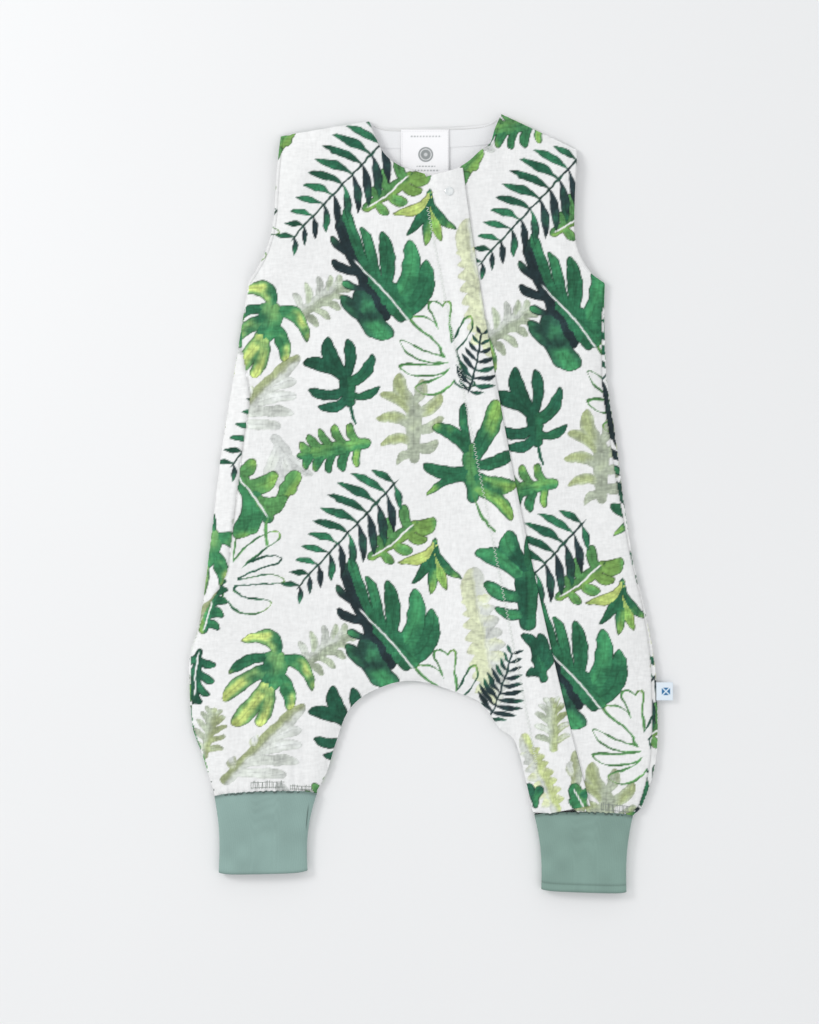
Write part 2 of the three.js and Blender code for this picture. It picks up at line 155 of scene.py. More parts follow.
def bell(x, width, exponent=2):
    """A bump that is 1 at 0 and fades within about a width."""
    return np.exp(-(x / width) ** exponent)


def power(x, exponent):
    """A power that keeps the sign of its base."""
    return np.sign(x) * np.abs(x) ** exponent


LATTICE = 64
CHUNK = 8000


def noise(xy, size, seed):
    """Smooth noise from -1 to 1 whose bumps are about one size across."""
    lattice = np.random.RandomState(seed).uniform(-1, 1, (LATTICE, LATTICE))
    p = xy / size + 1000.0
    cell = np.floor(p).astype(int)
    f = p - cell
    f = f * f * (3 - 2 * f)
    x0, y0 = cell[..., 0] % LATTICE, cell[..., 1] % LATTICE
    x1, y1 = (x0 + 1) % LATTICE, (y0 + 1) % LATTICE
    low = lattice[x0, y0] * (1 - f[..., 0]) + lattice[x1, y0] * f[..., 0]
    high = lattice[x0, y1] * (1 - f[..., 0]) + lattice[x1, y1] * f[..., 0]
    return low * (1 - f[..., 1]) + high * f[..., 1]


def turned_noise(xy, size, seed, angle=0.6):
    c, s = math.cos(angle), math.sin(angle)
    return noise(xy @ np.array(((c, -s), (s, c))), size, seed)


def to_line(xy, line):
    """Distance of each point from a run of points, and how far along the run its nearest place is."""
    a, b = line[:-1, :2], line[1:, :2]
    span = b - a
    size = np.hypot(*span.T)
    start = np.r_[0, np.cumsum(size)][:-1]
    best, place = np.empty(len(xy)), np.empty(len(xy))
    for i in range(0, len(xy), CHUNK):
        rel = xy[i:i + CHUNK, None, :] - a[None]
        t = np.clip((rel * span).sum(-1) / (size ** 2), 0, 1)
        away = rel - t[..., None] * span
        d2 = (away ** 2).sum(-1)
        k = d2.argmin(1)
        rows = np.arange(len(k))
        best[i:i + CHUNK] = np.sqrt(d2[rows, k])
        place[i:i + CHUNK] = start[k] + t[rows, k] * size[k]
    return best, place


def at_place(line, place):
    """The points at given distances along a run of points."""
    lengths = np.r_[0, np.cumsum(np.hypot(*np.diff(line[:, :2], axis=0).T))]
    return np.stack([np.interp(place, lengths, line[:, i]) for i in (0, 1)], 1)


FIELD_LOW, FIELD_SPAN = np.array((-262.0, -402.0)), (524, 804)


class Field:
    """A quantity kept on an even grid over the garment and read between its points."""

    def __init__(self, values_at, step=3.0):
        self.low, self.step = FIELD_LOW, step
        self.size = [int(span / step) + 2 for span in FIELD_SPAN]
        i, j = np.meshgrid(np.arange(self.size[0]), np.arange(self.size[1]), indexing="ij")
        grid = self.low + np.stack([i, j], -1).reshape(-1, 2) * step
        self.values = values_at(grid).reshape(self.size)

    def __call__(self, xy):
        p = (xy - self.low) / self.step
        cell = np.clip(np.floor(p).astype(int), 0, np.array(self.size) - 2)
        fx, fy = (p - cell).T
        i, j = cell.T
        v = self.values
        return ((v[i, j] * (1 - fx) + v[i + 1, j] * fx) * (1 - fy)
                + (v[i, j + 1] * (1 - fx) + v[i + 1, j + 1] * fx) * fy)


# ---- edges of the cloth

arm_left, side_left, inseam = spline(ARM_LEFT), spline(SIDE_LEFT), spline(INSEAM)
side_right, arm_right = spline(SIDE_RIGHT), spline(ARM_RIGHT)
neck_front, neck_back = spline(NECK_FRONT, 1.5), spline(NECK_BACK)
shoulder_left = resampled([neck_front[-1], arm_left[0]], 2)
shoulder_right = resampled([arm_right[-1], neck_front[0]], 2)


def cuff_top(cuff):
    """The line where the cloth meets a cuff: it bows up a little in the middle."""
    left, right = (np.array(p, float) for p in cuff["upper"])
    t = np.linspace(0, 1, 60)[:, None]
    line = left * (1 - t) + right * t
    line[:, 1:] += 3.4 * np.sin(np.pi * t) ** 0.8 + 1.2
    return resampled(line, 2)


cuff_top_left, cuff_top_right = cuff_top(CUFF_LEFT), cuff_top(CUFF_RIGHT)


def distance_from(*lines, step=3.0):
    """A field of the distance to the nearest of some runs of points."""
    return Field(lambda p: np.minimum.reduce([to_line(p, line)[0] for line in lines]), step)


from_sides = distance_from(side_left, side_right)
from_inseam = distance_from(inseam)
from_shoulders = distance_from(shoulder_left, shoulder_right)
from_arms = distance_from(arm_left, arm_right)
from_neck = distance_from(neck_front)
from_cuffs = distance_from(cuff_top_left, cuff_top_right)

# The seam between the back and the front lies inside the outline where the back wraps round.
left_wrap = 19.0 * smooth(side_left[:, 1], -118, -58) * (1 - smooth(side_left[:, 1], 95, 168))
seam_line_left = inset(side_left, 1.2 + left_wrap)
right_wrap = 3.6 + 2.4 * np.sin(side_right[:, 1] / 47.0)
seam_line_right = inset(side_right, right_wrap)
from_seam_left = distance_from(seam_line_left, step=2.0)
from_seam_right = distance_from(seam_line_right, step=2.0)
along_seam_left = Field(lambda p: to_line(p, seam_line_left)[1])
along_seam_right = Field(lambda p: to_line(p, seam_line_right)[1])

# ---- the print

NAVY, DEEP, FOREST = (38, 56, 60), (38, 92, 70), (48, 113, 80)
GREEN, MID, LEAF = (64, 136, 90), (94, 154, 92), (132, 176, 92)
LIME, STRAW = (186, 203, 118), (203, 212, 158)
SAGE, MIST, ASH, OLIVE = (166, 178, 152), (204, 210, 200), (216, 220, 216), (146, 160, 104)
WHITE = (238, 238, 237)


def blade(q, base, tip, width, bend=0.0, root=0.6, belly=0.66, point=0.475):
    """How far each point lies inside one blade of a leaf, and its place along and across it."""
    base, chord = np.asarray(base, float), np.subtract(tip, base)
    length = math.hypot(*chord)
    along = chord / length
    side = np.array((-along[1], along[0]))
    rel = q - base
    u = (rel @ along + 0.3 * np.sign(bend) * rel @ side) / length
    inner = np.clip(u, 0, 1)
    v = rel @ side - bend * length * 4 * inner * (1 - inner)
    rise = root + (1 - root) * smooth(inner / belly)
    beyond = np.clip(inner - belly, 0, 1) / (1 - belly)
    left_over = np.clip(1 - beyond ** 2, 0.002, 1)
    half = width / 2 * np.where(inner < belly, rise, left_over ** point)
    slope = width / length * point * beyond * left_over ** (point - 1) / (1 - belly)
    inside = (half - np.abs(v)) / np.sqrt(1 + slope ** 2)
    inside = np.where(u < 0, width / 2 * root - np.hypot(u * length, v), inside)
    inside = np.where(u > 1, -np.hypot((u - 1) * length, v), inside)
    return inside, inner, v / (width / 2)


def rotated(points, angle):
    c, s = math.cos(angle), math.sin(angle)
    return np.asarray(points, float) @ np.array(((c, s), (-s, c)))


def split_leaf(base, tip, left, right, lobes=5, width=0.2, first=-25, last=62, bend=0.08,
               body=0.22, reach=0.62):
    """Blades of a split leaf: lobes on both sides of its rib, a body and an end lobe.

    left and right are the longest lobe on each side, as a share of the leaf's length. first and
    last are the lobes' angles to the rib's side, in degrees, from the leaf's foot to its tip.
    """
    base, tip = np.array(base, float), np.array(tip, float)
    length = math.dist(base, tip)
    turn = math.atan2(*(tip - base)[::-1]) - math.pi / 2
    made = []
    for side, spread in ((-1, left), (1, right)):
        for k in range(lobes):
            t = k / (lobes - 1)
            angle = math.radians(first + (last - first) * t)
            size = spread * (0.72 + 0.28 * math.sin(math.pi * (0.15 + 0.85 * t)))
            foot = (0, 0.1 + reach * t)
            end = (side * size * math.cos(angle), foot[1] + size * math.sin(angle))
            made.append((foot, end, width, side * bend, side))
    made.append(((0, 0.02), (0, 0.86), body, 0, 0))
    made.append(((0, 0.6), (0, 1.0), width * 1.1, 0.03, 0))
    place = lambda p: base + rotated(np.multiply(p, length), turn)
    return [(place(a), place(b), w * length, n, s) for a, b, w, n, s in made], (base, tip)


def cut_leaf(foot, head, fingers, body):
    """A leaf cut into fingers along its rib.

    Each finger is its share of the way up the rib, its tip's place, its width, its bend to the left
    and its side of the rib.
    """
    foot, head = np.array(foot, float), np.array(head, float)
    made = [(foot + (head - foot) * share, np.array((x, y), float), 1.2 * width, bend, side)
            for share, x, y, width, bend, side in fingers]
    return made + [(foot, head, body, 0, 0)], (foot, head)


def frond(base, bow, tip, pairs, size, width, left=(80, 52), right=(58, 44)):
    """Narrow leaflets in pairs along a bowed stalk, longest near its foot."""
    base, bow, tip = (np.array(p, float) for p in (base, bow, tip))
    made, stalk = [], []
    for k in range(pairs):
        t = 0.05 + 0.92 * k / (pairs - 1)
        at = base * (1 - t) ** 2 + 2 * bow * t * (1 - t) + tip * t ** 2
        way = 2 * (bow - base) * (1 - t) + 2 * (tip - bow) * t
        way /= np.hypot(*way)
        share = (0.55 + 0.45 * smooth(t, 0, 0.2)) * (1 - 0.58 * smooth(t, 0.25, 1.0))
        for side, (first, last) in ((-1, left), (1, right)):
            lean = math.radians(first + (last - first) * t) * side
            end = at + rotated(way, lean) * size * share
            made.append((at, end, width * (0.35 + 0.65 * share), 0.05 * side, side))
        stalk.append(at)
    stalk = [base] + stalk + [tip]
    for a, b in zip(stalk, stalk[2:]):
        made.append((a, b, 2.1, 0, 0))
    return made, (base, tip)


def leaf(blades, tones, rib=None, root=0.7, belly=0.74, point=0.5, strength=1.0, outline=0.0,
         stem=None, rim=0.55, seed=1, repeats=(-1, 0, 1, 2)):
    """One printed leaf. tones are its colours: left side, right side, and the tips of the lobes.

    blades are its parts and its axis. root, belly and point shape every part: its width at the foot,
    where it is widest and how blunt its tip is. rib is how far up the axis the white rib reaches, rim
    how dark the edges are, outline the width of the drawn line where the leaf is only an outline.
    """
    parts, axis = blades
    shades = np.random.RandomState(seed).uniform(-1, 1, len(parts))
    return dict(parts=parts, shades=shades, axis=axis, tones=tones, rib=rib, root=root, belly=belly,
                point=point, strength=strength, outline=outline, stem=stem, rim=rim, seed=seed,
                repeats=repeats)


LEAF_MARGIN = 16


def printed_leaf(q, colour, motif, shift):
    """Lays one leaf over the colour of the points q, moved by a shift of the repeat."""
    parts = [(a + shift, b + shift, w, n, s) for a, b, w, n, s in motif["parts"]]
    ends = np.array([p for part in parts for p in part[:2]])
    low, high = ends.min(0) - LEAF_MARGIN, ends.max(0) + LEAF_MARGIN
    near = np.flatnonzero(((q > low) & (q < high)).all(1))
    if not len(near):
        return
    # A slightly uneven edge, as painted by hand.
    local = q[near] - shift
    p = q[near] + np.stack([noise(local, 7, 31), noise(local, 7, 32)], 1) * 0.9
    p += np.stack([noise(local, 2.6, 33), noise(local, 2.6, 34)], 1) * 0.35
    # The part each point lies deepest in: how deep, its place along and across it, its side and shade.
    cover = np.full(len(p), -99.0)
    tint, across, side, own = np.zeros((4, len(p)))
    for (a, b, width, bend, which), shade in zip(parts, motif["shades"]):
        inside, u, v = blade(p, a, b, width, bend, motif["root"], motif["belly"], motif["point"])
        take = inside > cover
        own = np.where(take, shade, own)
        cover = np.where(take, inside, cover)
        tint = np.where(take, u, tint)
        across = np.where(take, v, across)
        side = np.where(take, which, side)
    # The watercolour: two sides, riper tips, uneven washes, darker edges and a faint vein.
    base, tip = motif["axis"][0] + shift, motif["axis"][1] + shift
    rib_way = (tip - base) / math.dist(base, tip)
    offset = (p - base) @ np.array((-rib_way[1], rib_way[0]))
    reach = (p - base) @ rib_way / math.dist(base, tip)
    left, right, end = (np.array(t, float) for t in motif["tones"])
    wash = 0.62 * noise(local, 15, motif["seed"]) + 0.38 * noise(local, 6, motif["seed"] + 50)
    by_rib = smooth(-offset + 3.0 * wash, -2.5, 2.5)
    rightness = np.where(side == 0, by_rib, np.clip(side, 0, 1))[:, None]
    tone = left * (1 - rightness) + right * rightness
    ripe = smooth(tint + 0.6 * wash + 0.65 * own, 0.34, 1.15)
    ripe = ripe * (1 - 0.6 * smooth(np.abs(across), 0.3, 0.85)) * np.where(side == 0, 0.4, 1)
    ripe = ripe[:, None]
    tone = tone * (1 - ripe) + end * ripe
    grain = noise(local, 2.4, motif["seed"] + 90)
    tone = tone * (1 + 0.20 * wash + 0.07 * own + 0.07 * grain)[:, None]
    rim = smooth(cover, 0.1, 1.3)[:, None]
    tone = tone * (1 - motif["rim"] * (1 - rim))
    vein = smooth(np.abs(across), 0.12, 0.0)[:, None] * smooth(tint, 0.05, 0.3)[:, None]
    tone = tone * (1 - 0.13 * vein)
    # Where it covers the cloth: all over, or a drawn line only.
    alpha = smooth(cover, -0.45, 0.55) * motif["strength"]
    if motif["outline"]:
        line = 0.62 + 0.38 * noise(local, 11, 71)
        alpha = smooth(motif["outline"] * line - np.abs(cover - 0.9), -0.35, 0.35) * motif["strength"]
    # The white rib along its axis.
    if motif["rib"] is not None:
        on_rib = smooth(0.8 - np.abs(offset + 1.2 * np.sin(reach * 5)), -0.4, 0.4)
        on_rib *= smooth(reach, -0.02, 0.04) * (1 - smooth(reach, motif["rib"], motif["rib"] + 0.05))
        tone = tone * (1 - on_rib[:, None]) + np.array(WHITE) * on_rib[:, None]
    colour[near] = colour[near] * (1 - alpha[:, None]) + tone * alpha[:, None]
    if motif["stem"] is not None:
        a, b = (np.array(x, float) + shift for x in motif["stem"])
        inside = blade(p, a, b, 3.0, 0.06, 0.8, 0.5)[0]
        on = smooth(inside, -0.4, 0.4)[:, None]
        colour[near] = colour[near] * (1 - on) + (0.5 * left + 0.5 * end) * on


L, R = -1, 1
PALE = dict(rim=0.12)

# One repeat of the print, palest leaves first. Places are on the left half of the garment.
LEAVES = [
    leaf(split_leaf((58, 146), (33, 274), 0.13, 0.13, 8, 0.17, 30, 62, 0.03, 0.16),
         (STRAW, MIST, STRAW), strength=0.62, seed=2, **PALE),
    leaf(cut_leaf((-203, 70), (-127, 143), [
        (0.45, -130, 120, 9.5, 0.05, R), (0.34, -129, 104, 9.5, 0.05, R),
        (0.22, -132, 88, 9.5, 0.04, R), (0.10, -144, 75, 9, 0, R), (0.4, -176, 112, 9, 0.05, L),
        (0.12, -198, 92, 9, 0.03, L),
    ], 15), (OLIVE, MIST, ASH), strength=0.78, seed=3, **PALE),
    leaf(cut_leaf((-150, 62), (-139, 44), [
        (0.2, -160, 25, 9, 0.05, L), (0.6, -147, 15, 8, 0, L), (0.5, -131, 16, 9, -0.05, R),
        (0.1, -115, 27, 9, -0.08, R),
    ], 14), (ASH, ASH, MIST), strength=0.75, seed=44, **PALE),
    leaf(cut_leaf((-17, 44), (-17, 100), [
        (0.9, -33, 124, 13, 0.1, L), (0.95, -6, 118, 10, -0.05, R), (0.7, -49, 107, 10, -0.12, L),
        (0.75, 11, 104, 11, -0.1, R), (0.5, -52, 83, 10, -0.14, L), (0.5, 12, 82, 10, -0.12, R),
        (0.25, -48, 58, 9, -0.16, L), (0.05, -34, 40, 8, -0.14, L), (0.2, 7, 58, 10, -0.14, R),
    ], 16), (SAGE, SAGE, OLIVE), strength=0.8, seed=4, **PALE),
    leaf(split_leaf((-131, 180), (-82, 214), 0.42, 0.42, 5, 0.13, 20, 62), (MIST, SAGE, SAGE),
         strength=0.9, seed=5, **PALE),
    leaf(split_leaf((-224, 92), (-214, 140), 0.42, 0.42, 5, 0.13, 25, 62), (SAGE, OLIVE, SAGE),
         strength=0.8, seed=6, **PALE),
    leaf(split_leaf((113, 100), (111, 150), 0.44, 0.44, 5, 0.13, 25, 62), (SAGE, OLIVE, MIST),
         strength=0.85, seed=7, **PALE),
    leaf(split_leaf((116, 40), (83, 114), 0.15, 0.15, 7, 0.16, 30, 58, 0.03, 0.18),
         (MIST, LIME, STRAW), strength=0.75, seed=8, **PALE),
    leaf(cut_leaf((134, 66), (136, 98), [
        (0.2, 128, 88, 9, 0.05, L), (0.3, 145, 92, 10, -0.05, R),
    ], 13), (OLIVE, SAGE, MIST), strength=0.7, seed=45, repeats=(1,), **PALE),
    leaf(cut_leaf((24, 128), (14, 156), [
        (0.9, 1, 196, 13, -0.06, L), (0.95, 16, 196, 10, 0.05, L), (0.7, 38, 181, 11, -0.08, R),
        (0.6, -20, 180, 13, -0.1, L), (0.4, -31, 156, 10, 0.1, L), (0.25, -31, 132, 11, 0.1, L),
        (0.1, -14, 109, 14, 0.16, L), (0.1, 40, 112, 12, -0.1, R),
    ], 16), (MID, DEEP, LEAF), outline=1.5, rim=0.2, seed=9),
    leaf(cut_leaf((-202, 246), (-196, 276), [
        (0.8, -151, 309, 13, 0.06, R), (0.6, -149, 284, 10, 0.06, R), (0.4, -146, 263, 9, 0.04, R),
        (0.2, -160, 238, 16, -0.18, R), (0.8, -198, 312, 12, 0.08, L), (0.4, -224, 268, 12, 0.05, L),
    ], 16), (MID, DEEP, LEAF), outline=1.5, rim=0.2, seed=10),
    leaf(cut_leaf((-1, 303), (-1, 299), [
        (0.5, -37, 280, 10, 0.2, L), (0.5, -24, 259, 9, 0.1, R), (0.5, -5, 249, 9, 0.02, R),
        (0.5, 10, 253, 9, -0.06, L), (0.5, 24, 264, 9.5, -0.17, R),
    ], 6), (LIME, FOREST, LEAF), root=0.4, belly=0.6, point=0.6, seed=11),
    leaf(cut_leaf((-62, 285), (-16, 319), [
        (0.3, -57, 305, 7.5, 0.1, L), (0.5, -49, 322, 10, 0.08, L), (0.8, -33, 334, 10, 0.06, L),
        (0.88, 1, 317, 14, -0.1, R), (0.7, -9, 300, 9.5, -0.08, R), (0.45, -24, 288, 10, -0.08, R),
        (0.2, -42, 279, 8, -0.06, R),
    ], 13), (MID, LEAF, MID), rib=0.85, seed=12),
    leaf(cut_leaf((-152, 338), (-133, 368), [
        (0.4, -134, 350, 8, -0.1, R), (0.4, -150, 356, 6, 0.1, L),
    ], 15), (MID, LEAF, MID), seed=27),
    leaf(cut_leaf((-160, 164), (-152, 194), [
        (0.8, -187, 206, 15, -0.34, L), (0.7, -201, 174, 10, -0.14, L),
        (0.45, -206, 148, 13.5, -0.08, L), (0.2, -196, 122, 15, 0.04, L),
        (0.1, -171, 121, 11.5, 0.05, L), (0.4, -140, 137, 12, 0.1, R), (0.6, -118, 157, 13, 0.3, R),
    ], 27), (FOREST, GREEN, LIME), rim=0.5, seed=13),
    leaf(cut_leaf((-79, 98), (-82, 124), [
        (0.9, -102, 160, 13, 0.1, L), (0.95, -79, 158, 10.5, -0.06, L), (0.7, -55, 143, 10.5, -0.14, R),
        (0.75, -124, 137, 12, -0.12, L), (0.5, -119, 109, 9.5, 0.14, L), (0.25, -109, 92, 9.5, 0.16, L),
        (0.35, -50, 111, 8, -0.18, R),
    ], 16), (DEEP, FOREST, DEEP), stem=((-73, 77), (-77, 100)), seed=14),
    leaf(split_leaf((-62, 59), (-130, 45), 0.38, 0.38, 5, 0.135, 20, 52), (GREEN, MID, LEAF), seed=15),
    leaf(cut_leaf((-158, -14), (-202, 48), [
        (0.85, -200, 14, 13, 0.1, L), (0.7, -169, 40, 12, -0.08, R), (0.5, -148, 26, 15, -0.1, R),
        (0.3, -139, 2, 18, -0.2, R), (0.35, -184, -34, 21, 0.1, L),
    ], 17), (GREEN, MID, LEAF), rib=0.9, stem=((-158, -40), (-158, -14)), seed=16),
    leaf(split_leaf((-226, 214), (-209, 273), 0.28, 0.28, 5, 0.17, 10, 60), (LEAF, FOREST, GREEN),
         rib=0.85, seed=17),
    leaf(split_leaf((-229, 193), (-236, 142), 0.42, 0.42, 4, 0.18, 20, 60), (DEEP, DEEP, FOREST),
         rib=0.8, seed=18),
    leaf(cut_leaf((40, 6), (38, 58), [
        (0.85, 31, 97, 7.5, 0.05, L), (0.7, 65, 99, 16, -0.05, R), (0.75, 3, 76, 13, -0.12, L),
        (0.5, -8, 35, 12, 0.08, L), (0.3, -5, 8, 7, -0.16, L), (0.6, 80, 48, 11, -0.08, R),
        (0.4, 82, 15, 14.5, -0.06, R), (0.15, 79, -15, 12, 0.14, R),
    ], 17), (FOREST, FOREST, LEAF), stem=((61, -27), (40, 8)), seed=19),
    leaf(cut_leaf((88, 222), (86, 276), [
        (0.9, 66, 308, 18, 0.08, L), (0.7, 39, 291, 16, -0.12, L), (0.45, 46, 258, 12, 0.08, L),
        (0.2, 57, 234, 10, 0.14, L), (0.9, 94, 306, 15, -0.05, R), (0.6, 114, 276, 15, -0.1, R),
    ], 23), (DEEP, FOREST, GREEN), seed=20),
    leaf(cut_leaf((103, 168), (96, 192), [
        (0.9, 84, 211, 10, -0.16, L), (0.6, 100, 212, 10, -0.14, L), (0.3, 112, 196, 9, -0.1, R),
        (0.2, 86, 172, 8, -0.1, L),
    ], 12), (DEEP, FOREST, DEEP), seed=21),
    leaf(cut_leaf((96, 44), (93, 56), [
        (0.5, 88, 66, 8, 0, L), (0.5, 102, 64, 8, 0, R),
    ], 9), (DEEP, GREEN, DEEP), seed=46, repeats=(1,)),
    leaf(cut_leaf((144, 36), (131, 66), [
        (0.4, 128, 47, 9, 0.05, L), (0.6, 147, 57, 10, -0.05, R),
    ], 15), (GREEN, MID, FOREST), rib=0.8, seed=47, repeats=(1,)),
    leaf(([
        ((-54, 208), (-84, 285), 13, 0.03, R), ((-52, 204), (-66, 267), 11.5, -0.04, R),
        ((-47, 196), (-46, 263), 15, -0.07, R), ((-38, 190), (-19, 254), 20, -0.12, R),
        ((-30, 184), (-2, 234), 20, -0.16, R), ((-58, 214), (-17, 182), 25, 0.04, R),
        ((-60, 204), (-91, 280), 13, 0.02, L), ((-76, 240), (-98, 257), 8, 0.05, L),
        ((-70, 222), (-97, 234), 9, 0.05, L), ((-64, 206), (-86, 214), 8, 0.05, L),
        ((-44, 182), (-68, 226), 13, 0, L), ((-50, 170), (-88, 199), 14, 0.02, 0.35),
        ((-66, 198), (-42, 158), 24, -0.08, 0.45),
    ], (np.array((-22.0, 176.0)), np.array((-77.0, 240.0)))), (NAVY, FOREST, GREEN), rib=0.9,
         root=0.8, seed=22),
    leaf(frond((-36, 360), (-82, 312), (-136, 254), 11, 43, 9.0), (DEEP, NAVY, FOREST), root=0.2,
         belly=0.5, point=0.9, rim=0.3, seed=23),
    leaf(frond((36, 106), (44, 128), (49, 166), 8, 24, 5.2), (NAVY, NAVY, DEEP), root=0.3,
         belly=0.5, point=0.9, rim=0.1, seed=24, repeats=(-1, 0)),
    leaf(frond((51, 128), (62, 152), (74, 194), 10, 26, 5.6), (NAVY, NAVY, DEEP), root=0.3,
         belly=0.5, point=0.9, rim=0.1, seed=25, repeats=(1, 2)),
]
REPEAT_UP = np.array((5.0, -336.6))
RIGHT_PANEL_SHIFT = np.array((181.0, -24.0))
BACK_SHIFT = np.array((-64.0, 118.0))
SIDE_REPEAT = np.array((318.0, 40.0))


# How strongly the threads show in plain cloth and in print.
THREAD_NOISE, THREAD_PLAIN, THREAD_INKED = 0.075, 0.25, 0.9


def dyed(xy, shift=(0, 0)):
    """Colour of the printed cloth at places on it, as sRGB from 0 to 255."""
    q = xy - np.asarray(shift, float)
    grey = 1 + 0.012 * noise(xy, 60, 3) + 0.008 * noise(xy, 3.1, 4)
    colour = np.multiply.outer(grey, np.array(WHITE, float))
    for motif in LEAVES:
        for up in motif["repeats"]:
            printed_leaf(q, colour, motif, REPEAT_UP * up)
    thread = THREAD_NOISE * (noise(xy * (1, 0.25), 1.1, 5) + noise(xy * (0.25, 1), 1.1, 6))
    inked = smooth(230 - colour.min(1), 0, 60)
    return colour * (1 + thread * (THREAD_PLAIN + THREAD_INKED * inked))[:, None]


def tiled(xy):
    """The print on the back of the garment, where the repeats meet side by side."""
    colour = dyed(xy, BACK_SHIFT)
    for across in (-1, 1):
        other = dyed(xy, BACK_SHIFT + SIDE_REPEAT * across)
        colour = np.minimum(colour, other)
    return colour


# ---- heights of the cloth

# Soft folds: where each starts and ends, its width and its height.
FOLDS = [
    ((-196, 150), (-204, -10), 9, 0.9), ((-188, 60), (-176, -60), 14, -0.8),
    ((30, -60), (40, -150), 12, 1.0), ((52, -40), (62, -175), 10, -0.8),
    ((66, -120), (98, -250), 9, 0.9), ((140, -190), (152, -290), 10, -0.9),
    ((182, -120), (190, -250), 8, 1.0), ((-150, -200), (-140, -275), 9, 0.8),
    ((-120, -215), (-128, -272), 7, -0.7), ((-205, -160), (-195, -262), 9, 0.9),
    ((-60, -60), (-40, -160), 20, 0.8), ((-110, 10), (-90, -110), 24, -0.8),
    ((100, 180), (120, 40), 20, 0.8), ((70, 330), (98, 250), 12, -0.9),
    ((-120, 330), (-128, 250), 10, 0.8), ((-60, 290), (-20, 180), 26, 0.6),
    ((120, -20), (150, -120), 16, -0.8), ((150, 150), (156, 40), 9, 0.8),
    ((-170, 190), (-120, 170), 10, -0.7), ((-165, 170), (-110, 140), 9, 0.6),
    ((150, 205), (110, 190), 9, -0.7), ((156, 190), (120, 165), 8, 0.6),
    ((-70, -165), (-100, -120), 10, 0.7), ((10, -160), (0, -110), 14, 0.6),
    ((62, 362), (56, 322), 4, 0.9), ((72, 352), (70, 318), 5, -0.7),
]


def folds(xy):
    """Height of the soft folds, each slightly bent and fading at its ends."""
    total = np.zeros(len(xy))
    bent = xy + np.stack([noise(xy, 38, 61), noise(xy, 38, 62)], 1) * 5
    for start, end, width, height in FOLDS:
        start, way = np.array(start, float), np.subtract(end, start)
        length = math.hypot(*way)
        way = way / length
        t = ((bent - start) @ way) / length
        off = (bent - start) @ np.array((-way[1], way[0]))
        total += height * bell(off, width) * smooth(t, -0.15, 0.3) * (1 - smooth(t, 0.7, 1.15))
    return total


def crinkle(xy):
    """The small puckers of double muslin, mostly across the cloth's length."""
    long = noise(xy * (1, 0.55), 6.5, 41) * 0.5 + turned_noise(xy, 4.2, 42) * 0.3
    return long + noise(xy * (0.6, 1), 9, 43) * 0.5


def puckers(xy, away, place, depth, pitch, width):
    """Gathers across a sewn line, which fade out away from it."""
    phase = place / pitch * 2 * math.pi + 2.2 * noise(np.stack([place, place * 0], 1), 17, 44)
    return depth * bell(away, width) * np.sin(phase) * (0.65 + 0.35 * noise(xy, 25, 45))


def front_height(xy):
    """Height of the garment's front: full in the middle, low at its sewn edges."""
    sewn = np.minimum(np.minimum(from_sides(xy), from_inseam(xy)), from_shoulders(xy) * 1.3)
    t = np.clip(sewn / 26, 0, 1)
    body = (1 - (1 - t) ** 2) ** 0.55
    z = Z_EDGE + (Z_FRONT_TOP - Z_EDGE) * body
    flat = smooth(sewn, 0, 20)
    z += flat * (1.5 * folds(xy) + 0.7 * noise(xy, 70, 51) + 0.5 * turned_noise(xy, 28, 52))
    z += (0.25 + 0.75 * flat) * 0.32 * crinkle(xy)
    # The open edges: armholes and neck.
    z -= 2.6 * bell(from_arms(xy), 10) * smooth(from_sides(xy), 4, 16)
    z -= 0.8 * bell(from_neck(xy), 12)
    # The side seams. The left one lies further in, so a soft roll follows it.
    z -= 1.5 * bell(from_seam_left(xy), 1.5) * smooth(sewn, 1, 5)
    z += 0.7 * bell(from_seam_left(xy) - 4, 3.0) * smooth(sewn, 1, 8)
    z += puckers(xy, from_seam_left(xy), along_seam_left(xy), 0.42, 6.2, 7)
    z -= 0.8 * bell(from_seam_right(xy), 1.2)
    z += puckers(xy, from_seam_right(xy), along_seam_right(xy), 0.42, 5.6, 7)
    # The gathers above the cuffs, fine ones and wide ones.
    near_cuff = from_cuffs(xy)
    across_leg = np.where(xy[:, 0] < 0, xy[:, 0], xy[:, 0] * 1.03)
    z += puckers(xy, near_cuff, across_leg, 0.8, 5.4, 11) * smooth(sewn, 2, 10)
    z += puckers(xy, near_cuff, across_leg + 3, 0.95, 12.5, 30) * smooth(sewn, 2, 10)
    z -= 0.9 * bell(near_cuff, 3)
    # Level under the flap, and exactly at the hinge's height along its seam.
    across, along = in_zip_frame(xy)
    by_zip = (1 - smooth(np.abs(across), 19, 42)) * smooth(along, -596, -560)
    by_zip = by_zip * (1 - smooth(from_inseam(xy), 10, 0))
    level = Z_HINGE + 0.12 * crinkle(xy) * smooth(np.abs(across + 16), 0, 6)
    z = z * (1 - by_zip) + level * by_zip
    on_hinge = bell(across - FLAP_HINGE, 2.0) * (along > -600)
    return z * (1 - on_hinge) + Z_HINGE * on_hinge


def back_height(xy):
    """Height of the back, which lies on the floor and rises to its sewn edges."""
    sewn = np.minimum(np.minimum(from_sides(xy), from_inseam(xy)), from_shoulders(xy))
    t = np.clip(1 - sewn / 8, 0, 1)
    return Z_BACK + (Z_EDGE - Z_BACK) * t ** 2.2 + 0.15 * (1 + noise(xy, 30, 53)) * (1 - t)


# ---- making meshes


